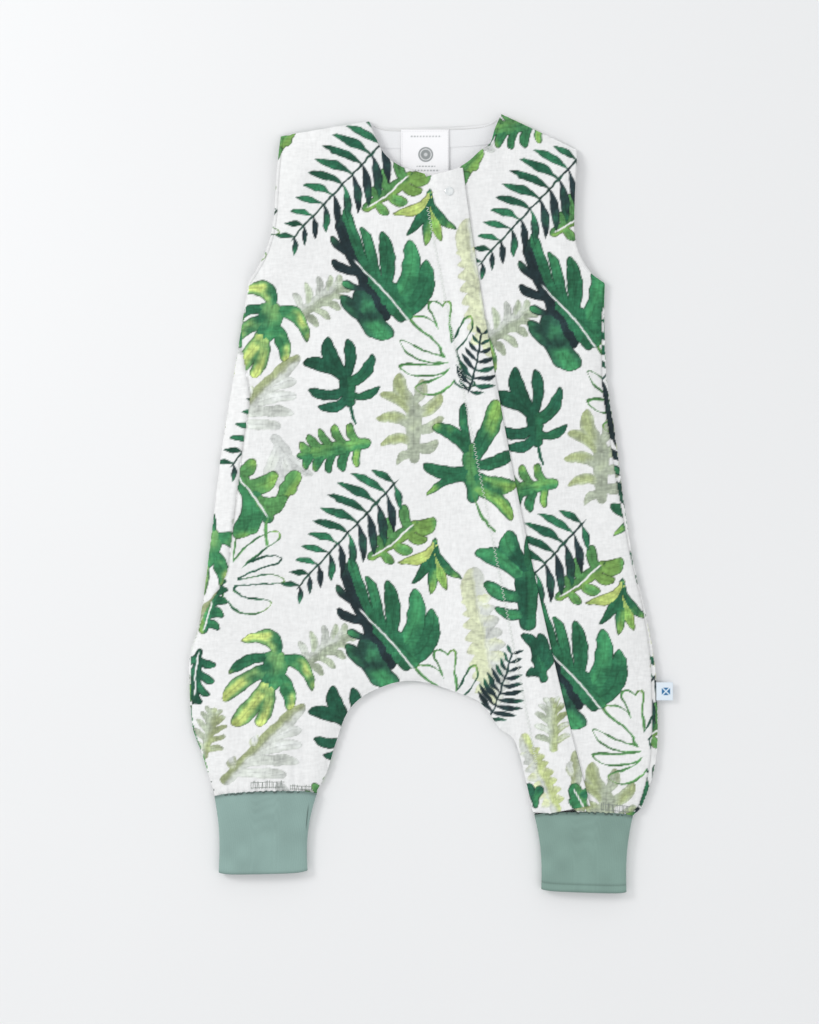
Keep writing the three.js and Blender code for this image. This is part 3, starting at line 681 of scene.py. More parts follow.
def make_mesh(name, points, faces, material, colours=None, body="garment", slot=None, node=None):
    """A smooth-shaded piece from millimetre points. It rides on a body and may stand for a CAD node.

    colours are sRGB from 0 to 255: one for each point, or one for all.
    """
    mesh = bpy.data.meshes.new(name)
    mesh.from_pydata((np.asarray(points, float) * MM).tolist(), [], faces)
    if colours is not None:
        rgb = np.clip(np.asarray(colours, float) / 255, 0, 1)
        linear = np.where(rgb < 0.04045, rgb / 12.92, ((rgb + 0.055) / 1.055) ** 2.4)
        linear = np.broadcast_to(linear, (len(points), 3))
        layer = mesh.color_attributes.new("dye", "FLOAT_COLOR", "POINT")
        layer.data.foreach_set("color", np.c_[linear, np.ones(len(linear))].ravel())
    mesh.polygons.foreach_set("use_smooth", np.ones(len(mesh.polygons), bool))
    mesh.materials.append(material)
    mesh.update()
    made = bpy.data.objects.new(name, mesh)
    bpy.context.scene.collection.objects.link(made)
    if body is not None:
        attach(made, body)
    if node is not None:
        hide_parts(node)
    return made


def inside(xy, outline):
    """Which points lie inside a closed outline."""
    a, b = outline, np.roll(outline, -1, 0)
    found = np.zeros(len(xy), bool)
    for i in range(0, len(xy), CHUNK):
        x, y = xy[i:i + CHUNK, 0, None], xy[i:i + CHUNK, 1, None]
        spans = (a[:, 1] > y) != (b[:, 1] > y)
        with np.errstate(divide="ignore", invalid="ignore"):
            cut = a[:, 0] + (y - a[:, 1]) / (b[:, 1] - a[:, 1]) * (b[:, 0] - a[:, 0])
        found[i:i + CHUNK] = (spans & (x < cut)).sum(1) % 2 == 1
    return found


def clipped_grid(outline, step):
    """An even grid of squares cut to an outline: its points and faces."""
    closed = np.vstack([outline, outline[:1]])
    low = outline.min(0) - step
    nx, ny = (np.ceil((outline.max(0) - low) / step).astype(int) + 2)
    i, j = np.meshgrid(np.arange(nx), np.arange(ny), indexing="ij")
    grid = low + np.stack([i, j], -1).reshape(-1, 2) * step
    kept = inside(grid, outline)
    square = kept.reshape(nx, ny)
    mixed = np.zeros((nx, ny), bool)
    corners = [square[:-1, :-1], square[1:, :-1], square[1:, 1:], square[:-1, 1:]]
    count = sum(c.astype(int) for c in corners)
    crossing = (count > 0) & (count < 4)
    for di, dj in ((0, 0), (1, 0), (1, 1), (0, 1)):
        mixed[di:nx - 1 + di, dj:ny - 1 + dj] |= crossing
    near = np.flatnonzero(mixed.ravel())
    gap, place = to_line(grid[near], closed)
    snap = gap < 0.22 * step
    grid[near[snap]] = at_place(closed, place[snap])
    kept[near[snap]] = True
    square = kept.reshape(nx, ny)
    number = np.arange(nx * ny).reshape(nx, ny)
    ring = np.stack([number[:-1, :-1], number[1:, :-1], number[1:, 1:], number[:-1, 1:]], -1)
    state = kept[ring]
    total = state.sum(-1)
    faces = ring[total == 4].tolist()
    points, cuts = [grid], {}
    extra = []
    for cell, within in zip(ring[(total > 0) & (total < 4)], state[(total > 0) & (total < 4)]):
        face = []
        for k in range(4):
            here, after = cell[k], cell[(k + 1) % 4]
            if within[k]:
                face.append(int(here))
            if within[k] != within[(k + 1) % 4]:
                key = (min(here, after), max(here, after))
                if key not in cuts:
                    cuts[key] = len(grid) + len(extra)
                    extra.append((grid[here], grid[after], within[k]))
                face.append(cuts[key])
        if len(face) > 2:
            faces.append(face)
    if extra:
        a = np.array([e[0] if e[2] else e[1] for e in extra])
        b = np.array([e[1] if e[2] else e[0] for e in extra])
        for _ in range(12):
            middle = (a + b) / 2
            within = inside(middle, outline)[:, None]
            a, b = np.where(within, middle, a), np.where(within, b, middle)
        points.append((a + b) / 2)
    points = np.vstack(points)
    used = np.unique(np.concatenate([np.asarray(f) for f in faces]))
    renumber = np.full(len(points), -1)
    renumber[used] = np.arange(len(used))
    return points[used], [[int(renumber[v]) for v in f] for f in faces]


def cloth_sheet(name, outline, step, height, colour, **how):
    """A single layer of cloth cut to an outline and raised to a height."""
    points, faces = clipped_grid(outline, step)
    colours = colour(points) if callable(colour) else colour
    return make_mesh(name, np.c_[points, height(points)], faces, colours=colours, **how)


def grid_faces(rows, columns, wrap=False, capped=False):
    """Faces over rows of points, closed to a tube where they wrap, with its two ends if capped."""
    across = columns if wrap else columns - 1
    faces = [[r * columns + c, r * columns + (c + 1) % columns,
              (r + 1) * columns + (c + 1) % columns, (r + 1) * columns + c]
             for r in range(rows - 1) for c in range(across)]
    if capped:
        last = (rows - 1) * columns
        faces += [list(range(columns))[::-1], list(range(last, last + columns))]
    return faces


def slab(upper, rows, columns, thickness):
    """A thin closed sheet under a grid of points: its points, the upper side first, and its faces."""
    count = len(upper)
    faces = grid_faces(rows, columns)
    faces += [[v + count for v in face[::-1]] for face in faces]
    border = ([r * columns for r in range(rows)] + [(rows - 1) * columns + c for c in range(1, columns)]
              + [r * columns + columns - 1 for r in range(rows - 2, -1, -1)]
              + list(range(columns - 2, 0, -1)))
    faces += [[a, b, b + count, a + count] for a, b in zip(border, border[1:] + border[:1])]
    lower = upper - np.multiply.outer(thickness * np.ones(count), (0, 0, 1))
    return np.vstack([upper, lower]), faces


def zip_grid(alongs, acrosses):
    """A grid of places over the zip: how far across it each lies, and where on the garment."""
    along, across = np.meshgrid(alongs, acrosses, indexing="ij")
    return across.ravel(), zip_point(across.ravel(), along.ravel())


def tube(path, wide, high, sides=10):
    """Points and faces of a closed flattened tube along a path in space."""
    t = tangents(path)
    flat = np.stack([-t[:, 1], t[:, 0], np.zeros(len(t))], 1)
    flat /= np.linalg.norm(flat, axis=1, keepdims=True)
    up = np.cross(t, flat)
    turn = np.arange(sides) / sides * 2 * math.pi
    taper = np.ones(len(path))
    taper[[0, -1]] = 0.35
    rows = (path[:, None, :] + flat[:, None, :] * (np.cos(turn)[:, None] * wide * taper[:, None, None])
            + up[:, None, :] * (np.sin(turn)[:, None] * high * taper[:, None, None]))
    return rows.reshape(-1, 3), grid_faces(len(path), sides, wrap=True, capped=True)


def joined(pieces):
    """Several runs of points and faces as one."""
    points, faces, offset = [], [], 0
    for some_points, some_faces in pieces:
        points.append(some_points)
        faces.extend([[v + offset for v in f] for f in some_faces])
        offset += len(some_points)
    return np.vstack(points), faces


# ---- materials


def node_material(name):
    """A new material with its node tree and its shader."""
    material = bpy.data.materials.new(name)
    material.use_nodes = True
    tree = material.node_tree
    return material, tree, tree.nodes["Principled BSDF"]


def connect(tree, node, *numbered, **named):
    """Gives a node its settings and inputs. An input is a value or the output that it's linked to."""
    for key, value in named.items():
        if hasattr(node, key):
            setattr(node, key, value)
    inputs = [(node.inputs[key.replace("_", " ")], value) for key, value in named.items()
              if not hasattr(node, key)]
    for socket, value in inputs + list(zip(node.inputs, numbered)):
        if isinstance(value, bpy.types.NodeSocket):
            tree.links.new(value, socket)
        else:
            socket.default_value = value


def add_node(tree, kind, *numbered, **named):
    node = tree.nodes.new(kind)
    connect(tree, node, *numbered, **named)
    return node


def object_place(tree):
    return add_node(tree, "ShaderNodeTexCoord").outputs["Object"]


def two_tones(tree, factor, dark, light, low=0.0, high=1.0):
    """A colour that goes from dark to light as a factor goes from low to high."""
    ramp = add_node(tree, "ShaderNodeValToRGB", Fac=factor)
    for end, place, tone in zip(ramp.color_ramp.elements, (low, high), (dark, light)):
        end.position, end.color = place, (*tone, 1)
    return ramp.outputs["Color"]


def scaled(tree, factor, low, high):
    """A factor from 0 to 1 brought between two values."""
    return add_node(tree, "ShaderNodeMapRange", Value=factor, To_Min=low, To_Max=high).outputs[0]


WEAVE_SHARE = 0.45


def cloth_material(name, pitch, bump, roughness=0.92, sheen=0.12, weave_hollow_shade=0.05, fuzz=900):
    """Cloth with uneven crossing threads of a given pitch in metres and with lint between them.

    Its colour comes from its own points.
    """
    material, tree, shader = node_material(name)
    place = object_place(tree)
    threads = [add_node(tree, "ShaderNodeTexWave", bands_direction=way, Vector=place, Distortion=1.6,
                        Scale=2 * math.pi / (20 * pitch), Detail=2.0, Detail_Scale=0.6).outputs["Fac"]
               for way in ("X", "Y")]
    weave = add_node(tree, "ShaderNodeMath", *threads, operation="MULTIPLY").outputs[0]
    lint = add_node(tree, "ShaderNodeTexNoise", Vector=place, Scale=fuzz, Detail=3.0,
                    Roughness=0.6).outputs["Fac"]
    relief = add_node(tree, "ShaderNodeMath", weave, WEAVE_SHARE, lint,
                      operation="MULTIPLY_ADD").outputs[0]
    # Painted shade: the colour darkens where the weave and lint lie low, the relief that also drives the
    # bump.
    shade = add_node(tree, "ShaderNodeMix", data_type="RGBA", blend_type="MULTIPLY", Factor=1.0,
                     A=add_node(tree, "ShaderNodeVertexColor", layer_name="dye").outputs["Color"],
                     B=scaled(tree, relief, 1 - weave_hollow_shade * 1.6, 1 + weave_hollow_shade * 0.4))
    bumps = add_node(tree, "ShaderNodeBump", Strength=0.8, Distance=bump, Height=relief)
    connect(tree, shader, Base_Color=shade.outputs["Result"], Normal=bumps.outputs["Normal"],
            Roughness=scaled(tree, lint, roughness - 0.08, min(1.0, roughness + 0.05)),
            Sheen_Weight=sheen, Sheen_Roughness=0.5, Specular_IOR_Level=0.25)
    return material


def hard_material(name, light, dark, roughness, metallic, grain, bump, coat=0.0):
    """Moulded plastic or painted metal: two close tones, fine grain and worn spots."""
    material, tree, shader = node_material(name)
    spots = add_node(tree, "ShaderNodeTexNoise", Vector=object_place(tree), Scale=grain, Detail=6.0,
                     Roughness=0.6).outputs["Fac"]
    bumps = add_node(tree, "ShaderNodeBump", Strength=0.4, Distance=bump, Height=spots)
    connect(tree, shader, Base_Color=two_tones(tree, spots, dark, light, 0.35, 0.62),
            Roughness=scaled(tree, spots, roughness * 0.8, min(1.0, roughness * 1.35)),
            Normal=bumps.outputs["Normal"], Metallic=metallic, Coat_Weight=coat)
    return material


PRINTED = cloth_material("printed_muslin", 0.0011, 0.00016)
WHITE_CLOTH = cloth_material("white_muslin", 0.0011, 0.00016, weave_hollow_shade=0.04)
RIB = cloth_material("sage_rib", 0.0007, 0.00010, roughness=0.88, sheen=0.22, weave_hollow_shade=0.10, fuzz=1400)
WOVEN = cloth_material("woven_label", 0.0004, 0.00005, roughness=0.7, sheen=0.2, weave_hollow_shade=0.03)
TAPE = cloth_material("zip_tape", 0.0005, 0.00008, roughness=0.85, sheen=0.1, weave_hollow_shade=0.05)
THREAD = cloth_material("sewing_thread", 0.0003, 0.00004, roughness=0.75, sheen=0.2, weave_hollow_shade=0.06)
PRINTED_LOOK = dict(slot="printed_muslin", material=PRINTED)
WHITE_LOOK = dict(slot="white_muslin", material=WHITE_CLOTH)
RIB_LOOK = dict(slot="sage_rib", material=RIB)
LABEL_LOOK = dict(slot="woven_label", material=WOVEN)
THREAD_LOOK = dict(slot="white_muslin", material=THREAD)

COIL = hard_material("zip_coil", (0.80, 0.80, 0.78), (0.70, 0.70, 0.68), 0.42, 0.0, 900, 0.00003)
ENAMEL = hard_material("zip_metal", (0.74, 0.74, 0.75), (0.60, 0.60, 0.62), 0.3, 0.15, 500, 0.00002, 0.5)
PEARL = hard_material("pearl_snap", (0.80, 0.82, 0.81), (0.66, 0.69, 0.70), 0.22, 0.0, 260, 0.00001, 0.6)

# ---- outer cloth

# Grid steps of the sheets, finest where the print is seen.
FINE, BACK_STEP, LINING_STEP, LINING_BACK_STEP = 1.08, 2.4, 3.2, 2.6
left_neck = neck_front[in_zip_frame(neck_front)[0] < FLAP_HINGE - 0.3]
right_neck = neck_front[in_zip_frame(neck_front)[0] > TONGUE_EDGE + 0.3]
hinge_bottom, hinge_top = zip_point(FLAP_HINGE, FLAP_END - 1.5), zip_point(FLAP_HINGE, FLAP_TOP - 1.5)

left_outline = np.vstack([
    arm_left, side_left[1:], cuff_top_left, inseam, hinge_bottom[None], hinge_top[None], left_neck,
])
right_outline = np.vstack([
    zip_point(PANEL_TO_ZIP, FLAP_END - 1.5)[None], cuff_top_right[cuff_top_right[:, 0] > 140],
    side_right, arm_right[1:], right_neck,
    zip_point(TONGUE_EDGE, FLAP_TOP - 3)[None], zip_point(TONGUE_EDGE, TONGUE_FOOT)[None],
    zip_point(PANEL_TO_ZIP, TONGUE_FOOT)[None],
])
back_outline = np.vstack([arm_left, side_left[1:], cuff_top_left, inseam, cuff_top_right, side_right,
                          arm_right[1:], neck_back])


def panel_dye(xy, colour, side_line, seam_line, crease_shade):
    """A front panel's print, with the back's print past its side seam and painted shade in the seam's
    crease.
    """
    beyond = inside(xy, np.vstack([side_line, seam_line[::-1]]))
    colour[beyond] = tiled(xy[beyond])
    return colour * (1 - crease_shade)[:, None]


def left_dye(xy):
    # Painted shade in the crease along the left side seam.
    crease_shade = 0.16 * bell(to_line(xy, seam_line_left)[0], 0.9) * smooth(from_sides(xy), 2, 8)
    return panel_dye(xy, dyed(xy), side_left, seam_line_left, crease_shade)


def right_dye(xy):
    """The right panel's print, drawn up to 15 mm lower down the leg."""
    lower = 15 * (1 - smooth(xy[:, 1], 40, 190))
    colour = dyed(xy + np.stack([0 * lower, lower], 1), RIGHT_PANEL_SHIFT)
    # Painted shade in the crease along the right side seam.
    crease_shade = 0.14 * bell(to_line(xy, seam_line_right)[0], 0.8)
    return panel_dye(xy, colour, side_right, seam_line_right, crease_shade)


front_left = cloth_sheet("front_left_muslin", left_outline, FINE, front_height, left_dye,
                         node="front_panel_left", **PRINTED_LOOK)
front_right = cloth_sheet("front_right_muslin", right_outline, FINE, front_height, right_dye,
                          node="front_panel_right", **PRINTED_LOOK)
back = cloth_sheet("back_muslin", back_outline, BACK_STEP, back_height, tiled, node="back_panel",
                   **PRINTED_LOOK)

# ---- lining

LINING_WHITE, FACING_WHITE, GUARD_WHITE = (241, 241, 242), (238, 238, 239), (236, 236, 236)
TAPE_WHITE, LABEL_WHITE, LABEL_GREY = (232, 232, 230), (250, 249, 250), (122, 128, 128)
LABEL_THREAD, FLAP_THREAD, OVERLOCK_THREAD = (226, 227, 228), (228, 233, 227), (150, 157, 151)
FLAP_THICKNESS, TAPE_THICKNESS, LABEL_THICKNESS = 0.95, 0.45, 0.4


def lining_front_height(xy):
    return front_height(xy) - LINING_GAP


def lining_back_height(xy):
    return back_height(xy) + LINING_GAP + 0.35 * (1 + noise(xy, 24, 55)) + 0.12 * crinkle(xy)


lining_left = cloth_sheet("lining_front_left", left_outline, LINING_STEP, lining_front_height,
                          LINING_WHITE, node="front_lining_left", **WHITE_LOOK)
lining_right = cloth_sheet("lining_front_right", right_outline, LINING_STEP, lining_front_height,
                           LINING_WHITE, node="front_lining_right", **WHITE_LOOK)
lining_back = cloth_sheet("lining_back", back_outline, LINING_BACK_STEP, lining_back_height,
                          LINING_WHITE, node="back_lining", **WHITE_LOOK)

# ---- flap over the zip


def flap_height(across, along, xy):
    """Top of the flap: from the hinge line up over the zip and down to its free edge."""
    end = free_edge(along)
    crown = Z_CROWN - 3.0 * smooth(along, -548, -592)
    rise = smooth((across - FLAP_HINGE) / 10.5)
    fall = smooth((across - 7.5) / np.maximum(end - 7.5, 1.0))
    z = Z_HINGE + (crown - Z_HINGE) * rise - (crown - Z_FLAP_EDGE) * fall
    return z + rise * (0.22 * crinkle(xy) + 0.18 * noise(xy * (1, 0.4), 16, 56)
                       + 0.25 * noise(np.stack([along, along * 0], 1), 34, 57) * fall)


def flap_sheet():
    """The flap as a thin closed sheet, printed above and white below, with painted shade along its free
    edge.
    """
    rows, columns = int((FLAP_TOP - FLAP_END) / FINE), 34
    along, share = np.meshgrid(np.linspace(FLAP_END - 1.0, FLAP_TOP, rows), np.linspace(0, 1, columns),
                               indexing="ij")
    along, share = along.ravel(), share.ravel()
    width = free_edge(along) - FLAP_HINGE
    across = FLAP_HINGE + width * share
    trim = 1.8 * np.sin(np.clip((along - 20) / 12, 0, 1) * math.pi / 2) * np.cos(share * math.pi)
    xy = zip_point(across, along - 0.4 * trim)
    points, faces = slab(np.c_[xy, flap_height(across, along, xy)], rows, columns,
                         FLAP_THICKNESS * smooth(share, 0.0, 0.06))
    # Painted shade: the print darkens by up to a tenth along the free edge, where the flap turns down.
    edge = bell((1 - share) * width, 0.9)
    printed = dyed(xy) * (1 - 0.10 * edge)[:, None]
    return points, faces, np.vstack([printed, np.tile(LINING_WHITE, (len(xy), 1))])


flap_points, flap_faces, flap_colours = flap_sheet()
flap = make_mesh("flap_muslin", flap_points, flap_faces, colours=flap_colours, body=None, **PRINTED_LOOK)
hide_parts("zip_flap", "zip_flap_end")


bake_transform(flap)

# ---- bindings and seams


def on_front(line, lift=0.0):
    """A run of points laid on the garment's front."""
    return np.c_[line[:, :2], front_height(line[:, :2]) + lift]


def on_back(line, lift=0.0):
    return np.c_[line[:, :2], back_height(line[:, :2]) + lift]


# Painted shade on the rolled bindings: their print darkened by 3 percent.
ROLLED_EDGE_SHADE = 0.97


def binding(name, runs, dye, node):
    """A narrow rolled edge along one or more runs of points in space, with painted shade that makes it a
    little darker than the cloth.
    """
    points, faces = joined([tube(resampled(run, 1.0), 1.5, 0.85) for run in runs])
    return make_mesh(name, points, faces, colours=ROLLED_EDGE_SHADE * dye(points[:, :2]), node=node, **PRINTED_LOOK)


def plain(xy):
    # White darkened by the rolled edge's painted shade.
    return ROLLED_EDGE_SHADE * np.array(WHITE)


def right_print(xy):
    return dyed(xy, RIGHT_PANEL_SHIFT)


HEM_INSET = 1.6
arm_left_hem, arm_right_hem = inset(arm_left, HEM_INSET), inset(arm_right, HEM_INSET)
neck_back_hem = inset(neck_back, HEM_INSET)
neck_left_hem, neck_right_hem = inset(left_neck, HEM_INSET), inset(right_neck, HEM_INSET)
arm_binding_left = binding("armhole_hem_left", [on_front(arm_left_hem), on_back(arm_left_hem, 0.6)],
                           dyed, "armhole_binding_left")
arm_binding_right = binding("armhole_hem_right", [on_front(arm_right_hem), on_back(arm_right_hem, 0.6)],
                            right_print, "armhole_binding_right")
neck_hem_back = binding("neck_hem_back", [on_back(neck_back_hem[3:-3], 0.7)], plain, "neck_binding_back")
neck_hem_left = binding("neck_hem_left", [on_front(neck_left_hem[1:-3])], dyed, "neck_binding_left")
neck_hem_right = binding("neck_hem_right", [on_front(neck_right_hem[3:-1])], right_print,
                         "neck_binding_right")


def seam_allowance(name, line, node):
    """The two raw edges sewn together inside the garment."""
    outer, inner = inset(line, 1.8)[3:-3], inset(line, 6.0)[3:-3]
    rows = []
    # Its section: a share of the way inwards, and a height.
    for share, z in ((0, 3.9), (0.5, 4.6), (1, 4.2), (1, 3.4), (0.5, 3.2), (0, 3.0)):
        run = outer * (1 - share) + inner * share
        rows.append(np.c_[run, z + 0.25 * noise(run, 6, 58)])
    make_mesh(name, np.stack(rows, 1).reshape(-1, 3),
              grid_faces(len(outer), len(rows), wrap=True, capped=True), colours=LINING_WHITE,
              node=node, **WHITE_LOOK)


for node, line in {
    "side_seam_left": side_left, "side_seam_right": side_right, "inseam": inseam,
    "shoulder_seam_left": shoulder_left, "shoulder_seam_right": shoulder_right,
}.items():
    seam_allowance(node + "_edge", line, node)

# ---- neck facing and label

FACING_COLUMNS = 16
facing_outer, facing_inner = inset(neck_back, 2.6)[2:-2], inset(neck_back, 19.0)[2:-2]
share = np.linspace(0, 1, FACING_COLUMNS)[:, None]
facing_xy = (facing_outer[:, None, :] * (1 - share) + facing_inner[:, None, :] * share).reshape(-1, 2)
facing = make_mesh("neck_facing_cloth", np.c_[facing_xy, lining_back_height(facing_xy) + 0.5],
                   grid_faces(len(facing_outer), FACING_COLUMNS), colours=FACING_WHITE,
                   node="neck_facing", **WHITE_LOOK)

LABEL = dict(left=-29.0, right=17.5, bottom=316.0, top=362.0)


def label_dye(xy):
    """A woven label: white with a plain grey disc and three grey rules, and no lettering."""
    x, y = xy.T
    disc = np.hypot(x + 5.2, y - 338)
    ring = smooth(7.2 - disc, -0.4, 0.4) * (1 - 0.75 * smooth(0.5 - np.abs(disc - 5.3), -0.3, 0.3))
    ring *= 1 - 0.6 * smooth(1.8 - disc, -0.4, 0.4)
    rules = np.zeros(len(x))
    for height, start, end in ((355.5, -20, 10), (326.5, -14, 4), (322.5, -18, 8)):
        within = smooth(x, start - 0.5, start + 0.5) * (1 - smooth(x, end - 0.5, end + 0.5))
        dashes = 0.6 + 0.4 * np.sign(np.sin(x * 2.1 + height))
        rules = np.maximum(rules, smooth(0.65 - np.abs(y - height), -0.35, 0.35) * within * dashes)
    ink = np.maximum(ring * 0.8, rules * 0.55)[:, None]
    return np.array(LABEL_WHITE) * (1 - ink) + np.array(LABEL_GREY) * ink


def label_height(xy):
    dip = np.clip(lining_back_height(xy) + 1.7, 2.6, 3.8)
    return dip + 0.25 * noise(xy, 14, 59) + 0.35 * smooth(xy[:, 1], 330, 316)


LABEL_STEP = 0.6
label_grid = [np.arange(LABEL[low], LABEL[high] + LABEL_STEP / 2, LABEL_STEP)
              for low, high in (("left", "right"), ("bottom", "top"))]
label_xy = np.stack(np.meshgrid(*label_grid, indexing="ij"), -1).reshape(-1, 2)
label_points, label_faces = slab(np.c_[label_xy, label_height(label_xy)],
                                 *[len(places) for places in label_grid], LABEL_THICKNESS)
neck_label = make_mesh("neck_label_woven", label_points, label_faces,
                       colours=label_dye(label_points[:, :2]), node="neck_label", **LABEL_LOOK)


def stitches(name, path, length, gap, radius, tone, zigzag=0.0, lift=0.15):
    """Short thread stitches along a path in space, straight or zigzag."""
    step = 0.5
    run = resampled(path, step)
    spacing = int(round((length + gap) / step))
    t = tangents(run)
    side = np.stack([-t[:, 1], t[:, 0], np.zeros(len(t))], 1)
    made, reach = [], int(round(length / step))
    for n, k in enumerate(range(0, len(run) - reach - 1, spacing)):
        a, b = run[k], run[min(k + reach, len(run) - 1)]
        way = zigzag * (1 if n % 2 else -1)
        a, b = a - side[k] * way, b + side[k] * way
        s = np.linspace(0, 1, 5)[:, None]
        line = a * (1 - s) + b * s
        line[:, 2] += lift + radius * 0.9 * np.sin(np.pi * s[:, 0]) - radius * 0.5
        made.append(tube(line, radius, radius * 0.8, 5))
    points, faces = joined(made)
    return make_mesh(name, points, faces, colours=tone, **THREAD_LOOK)


# The label is sewn down along its two sides and its top.
sewn_left, sewn_right, sewn_low, sewn_high = LABEL["left"] + 1.2, LABEL["right"] - 1.2, 322, 360.6
label_run = resampled([(sewn_left, sewn_low), (sewn_left, sewn_high), (sewn_right, sewn_high),
                       (sewn_right, sewn_low)], 1.0)
label_stitching = stitches("neck_label_stitching", np.c_[label_run, label_height(label_run)], 1.6, 0.9,
                           0.16, LABEL_THREAD)

# ---- cuffs

# The same sage rib on both legs, the right cuff painted darker than the left: painted shade, as the light
# falls from the left.
CUFF_TONE = {"left": np.array((143, 170, 163)), "right": np.array((132, 160, 150))}
CUFF_WALL, RIB_PITCH, HEM_SEAM = 1.5, 1.75, 0.9


def cuff_tube(name, side, cuff, node):
    """A flattened rib tube: fine upright ribs outside, a turned hem below and its inside wall.

    It is made of rings from the seam, where s is 0, down to the lower edge, where s is 1.
    """
    is_left = side == "left"
    upper, lower = ([np.array(p, float) for p in cuff[k]] for k in ("upper", "lower"))
    around, down, down_inside = 520, 64, 16
    turn = np.arange(around) / around * 2 * math.pi
    cosine, sine = np.cos(turn), np.sin(turn)
    bow = 1 - np.abs(cosine) ** 2.2
    profile = [(s, 0.0) for s in np.linspace(-0.012, 1, down)]
    profile += [(1.008, CUFF_WALL * 0.4), (1.004, CUFF_WALL * 0.8), (0.99, CUFF_WALL)]
    profile += [(s, CUFF_WALL) for s in np.linspace(0.94, 0.1, down_inside)]
    points, shade = [], []
    for s, depth in profile:
        inner = min(max(s, 0), 1)
        drawn_in = np.array((1 - (1 - inner) ** 2.4, s))
        left, right = (upper[i] * (1 - drawn_in) + lower[i] * drawn_in for i in (0, 1))
        middle, half = (left + right) / 2, (right - left) / 2
        width = math.hypot(*half)
        pull = 1.3 * math.sin(math.pi * inner) * (1 if is_left else 0.6)
        x = power(cosine, 0.42) * (width - depth - pull)
        height = CUFF_HEIGHT / 2 * (1 - 0.10 * math.sin(math.pi * inner))
        z = power(sine, 0.8) * (height - depth)
        arc = np.cumsum(np.hypot(np.diff(x, append=x[0]), np.diff(z, append=z[0])))
        ribs = np.sin(arc / RIB_PITCH * 2 * math.pi)
        fold = 0.4 * noise(np.stack([x * 0.4, np.full(around, s * 72.0)], 1), 11, 81)
        fold += 0.3 * noise(np.stack([x, np.full(around, s * 20.0)], 1), 17, 82)
        fold += 0.4 * noise(np.stack([x, np.full(around, s * 8)], 1), 9, 84) * bell(s, 0.16)
        ribs_out = np.sign(z) * ribs * (0.07 if depth == 0 else 0.04) * np.abs(sine) ** 0.3
        z = z + ribs_out + np.where(sine >= 0, 1, -0.3) * fold * (np.abs(z) > 1)
        if not is_left:
            z = z - 0.5 * bell(s - HEM_SEAM, 0.012) * (z > 0)
        place = middle + np.multiply.outer(x, half / width)
        top_bow = 3.4 * (1 - smooth(s, 0, 0.35)) * bow
        hem_bow = (1.8 if is_left else 1.2) * smooth(s, 0.6, 1.0) * bow
        ring = np.c_[place[:, 0], place[:, 1] + top_bow - hem_bow, z + CUFF_HEIGHT / 2 + 0.1]
        points.append(ring)
        # Painted shade: rib crests a little lighter than their hollows, and a dark band at the top seam
        # where the cloth meets the cuff. The noise is the knit's own uneven tone.
        tone = (1 + 0.014 * ribs + 0.035 * noise(ring[:, :2], 14, 83)) * (1 - 0.22 * bell(s, 0.022))
        if is_left:
            # Painted shade in a fold crease near the cuff's right end.
            crease_shade = bell(x / width - 0.90 - 0.1 * (s - 0.2), 0.012)
            tone = tone * (1 - 0.35 * crease_shade * bell(s - 0.3, 0.14, 4))
        else:
            # Painted shade in the groove of the right cuff's hem seam.
            tone = tone * (1 - 0.14 * bell(s - HEM_SEAM, 0.012))
        # Painted shade along the folded lower edge.
        tone = tone * (1 - 0.12 * bell(s - 1.0, 0.02))
        # Painted shade on the inside wall, seen through the open end.
        shade.append(tone * (0.82 if depth > 0.5 * CUFF_WALL and s < 0.97 else 1.0))
    points = np.vstack(points)
    points[:, 2] = np.maximum(points[:, 2], 0.05)
    return make_mesh(name, points, grid_faces(len(profile), around, wrap=True), node=node,
                     colours=np.multiply.outer(np.concatenate(shade), CUFF_TONE[side]), **RIB_LOOK)


cuff_left = cuff_tube("cuff_left_rib", "left", CUFF_LEFT, "cuff_left")
cuff_right = cuff_tube("cuff_right_rib", "right", CUFF_RIGHT, "cuff_right")


def cuff_seam(name, side, line, node):
    """The sewn join between cloth and cuff: a thin roll painted dark as painted shade in the join, wavy
    where the cloth is gathered.
    """
    wavy = resampled(line, 1.0)
    away = np.arange(len(wavy))
    xy = wavy.copy()
    xy[:, 1] += 0.5 * np.sin(away / 5.4 * 2 * math.pi) - 0.6
    ends = smooth(np.minimum(away, away[::-1]), 0, 9)
    upper = np.c_[xy, 4.4 + (front_height(xy) - 4.4) * np.maximum(ends, 0.05) + 0.1]
    lower = np.c_[xy, np.full(len(xy), 0.9) + 2.2 * (1 - ends)]
    points, faces = joined([tube(upper, 0.85, 0.75, 8), tube(lower, 0.9, 0.7, 8)])
    # The roll's colour is the cuff's sage darkened to 0.62: painted shade in the join.
    return make_mesh(name, points, faces, colours=0.62 * CUFF_TONE[side], node=node, **RIB_LOOK)


seam_ring_left = cuff_seam("cuff_seam_left_roll", "left", cuff_top_left, "cuff_seam_left")
seam_ring_right = cuff_seam("cuff_seam_right_roll", "right", cuff_top_right, "cuff_seam_right")


def overlock(name, line, groups):
    """Overlock loops that show just above a cuff where the cloth is gathered.

    Each group is where it starts and ends across the leg, and its lower and upper distance from
    the cuff.
    """
    run = resampled(line, 0.5)
    threads = []
    for start, end, low, high in groups:
        chosen = run[(run[:, 0] > start) & (run[:, 0] < end)]
        for k in range(0, len(chosen) - 3, 4):
            foot = chosen[k] + (0.4 * math.sin(k), low)
            top = chosen[k] + (0.9 * math.sin(k * 0.7), high + 1.1 * math.sin(k * 0.23))
            s = np.linspace(0, 1, 8)[:, None]
            threads.append(foot * (1 - s) + top * s)
        threads += [chosen + (0, height) for height in (low + 1.5, high - 1.0)]
    points, faces = joined([tube(on_front(thread, 0.16), 0.24, 0.22, 5) for thread in threads])
    return make_mesh(name, points, faces, colours=OVERLOCK_THREAD, **THREAD_LOOK)


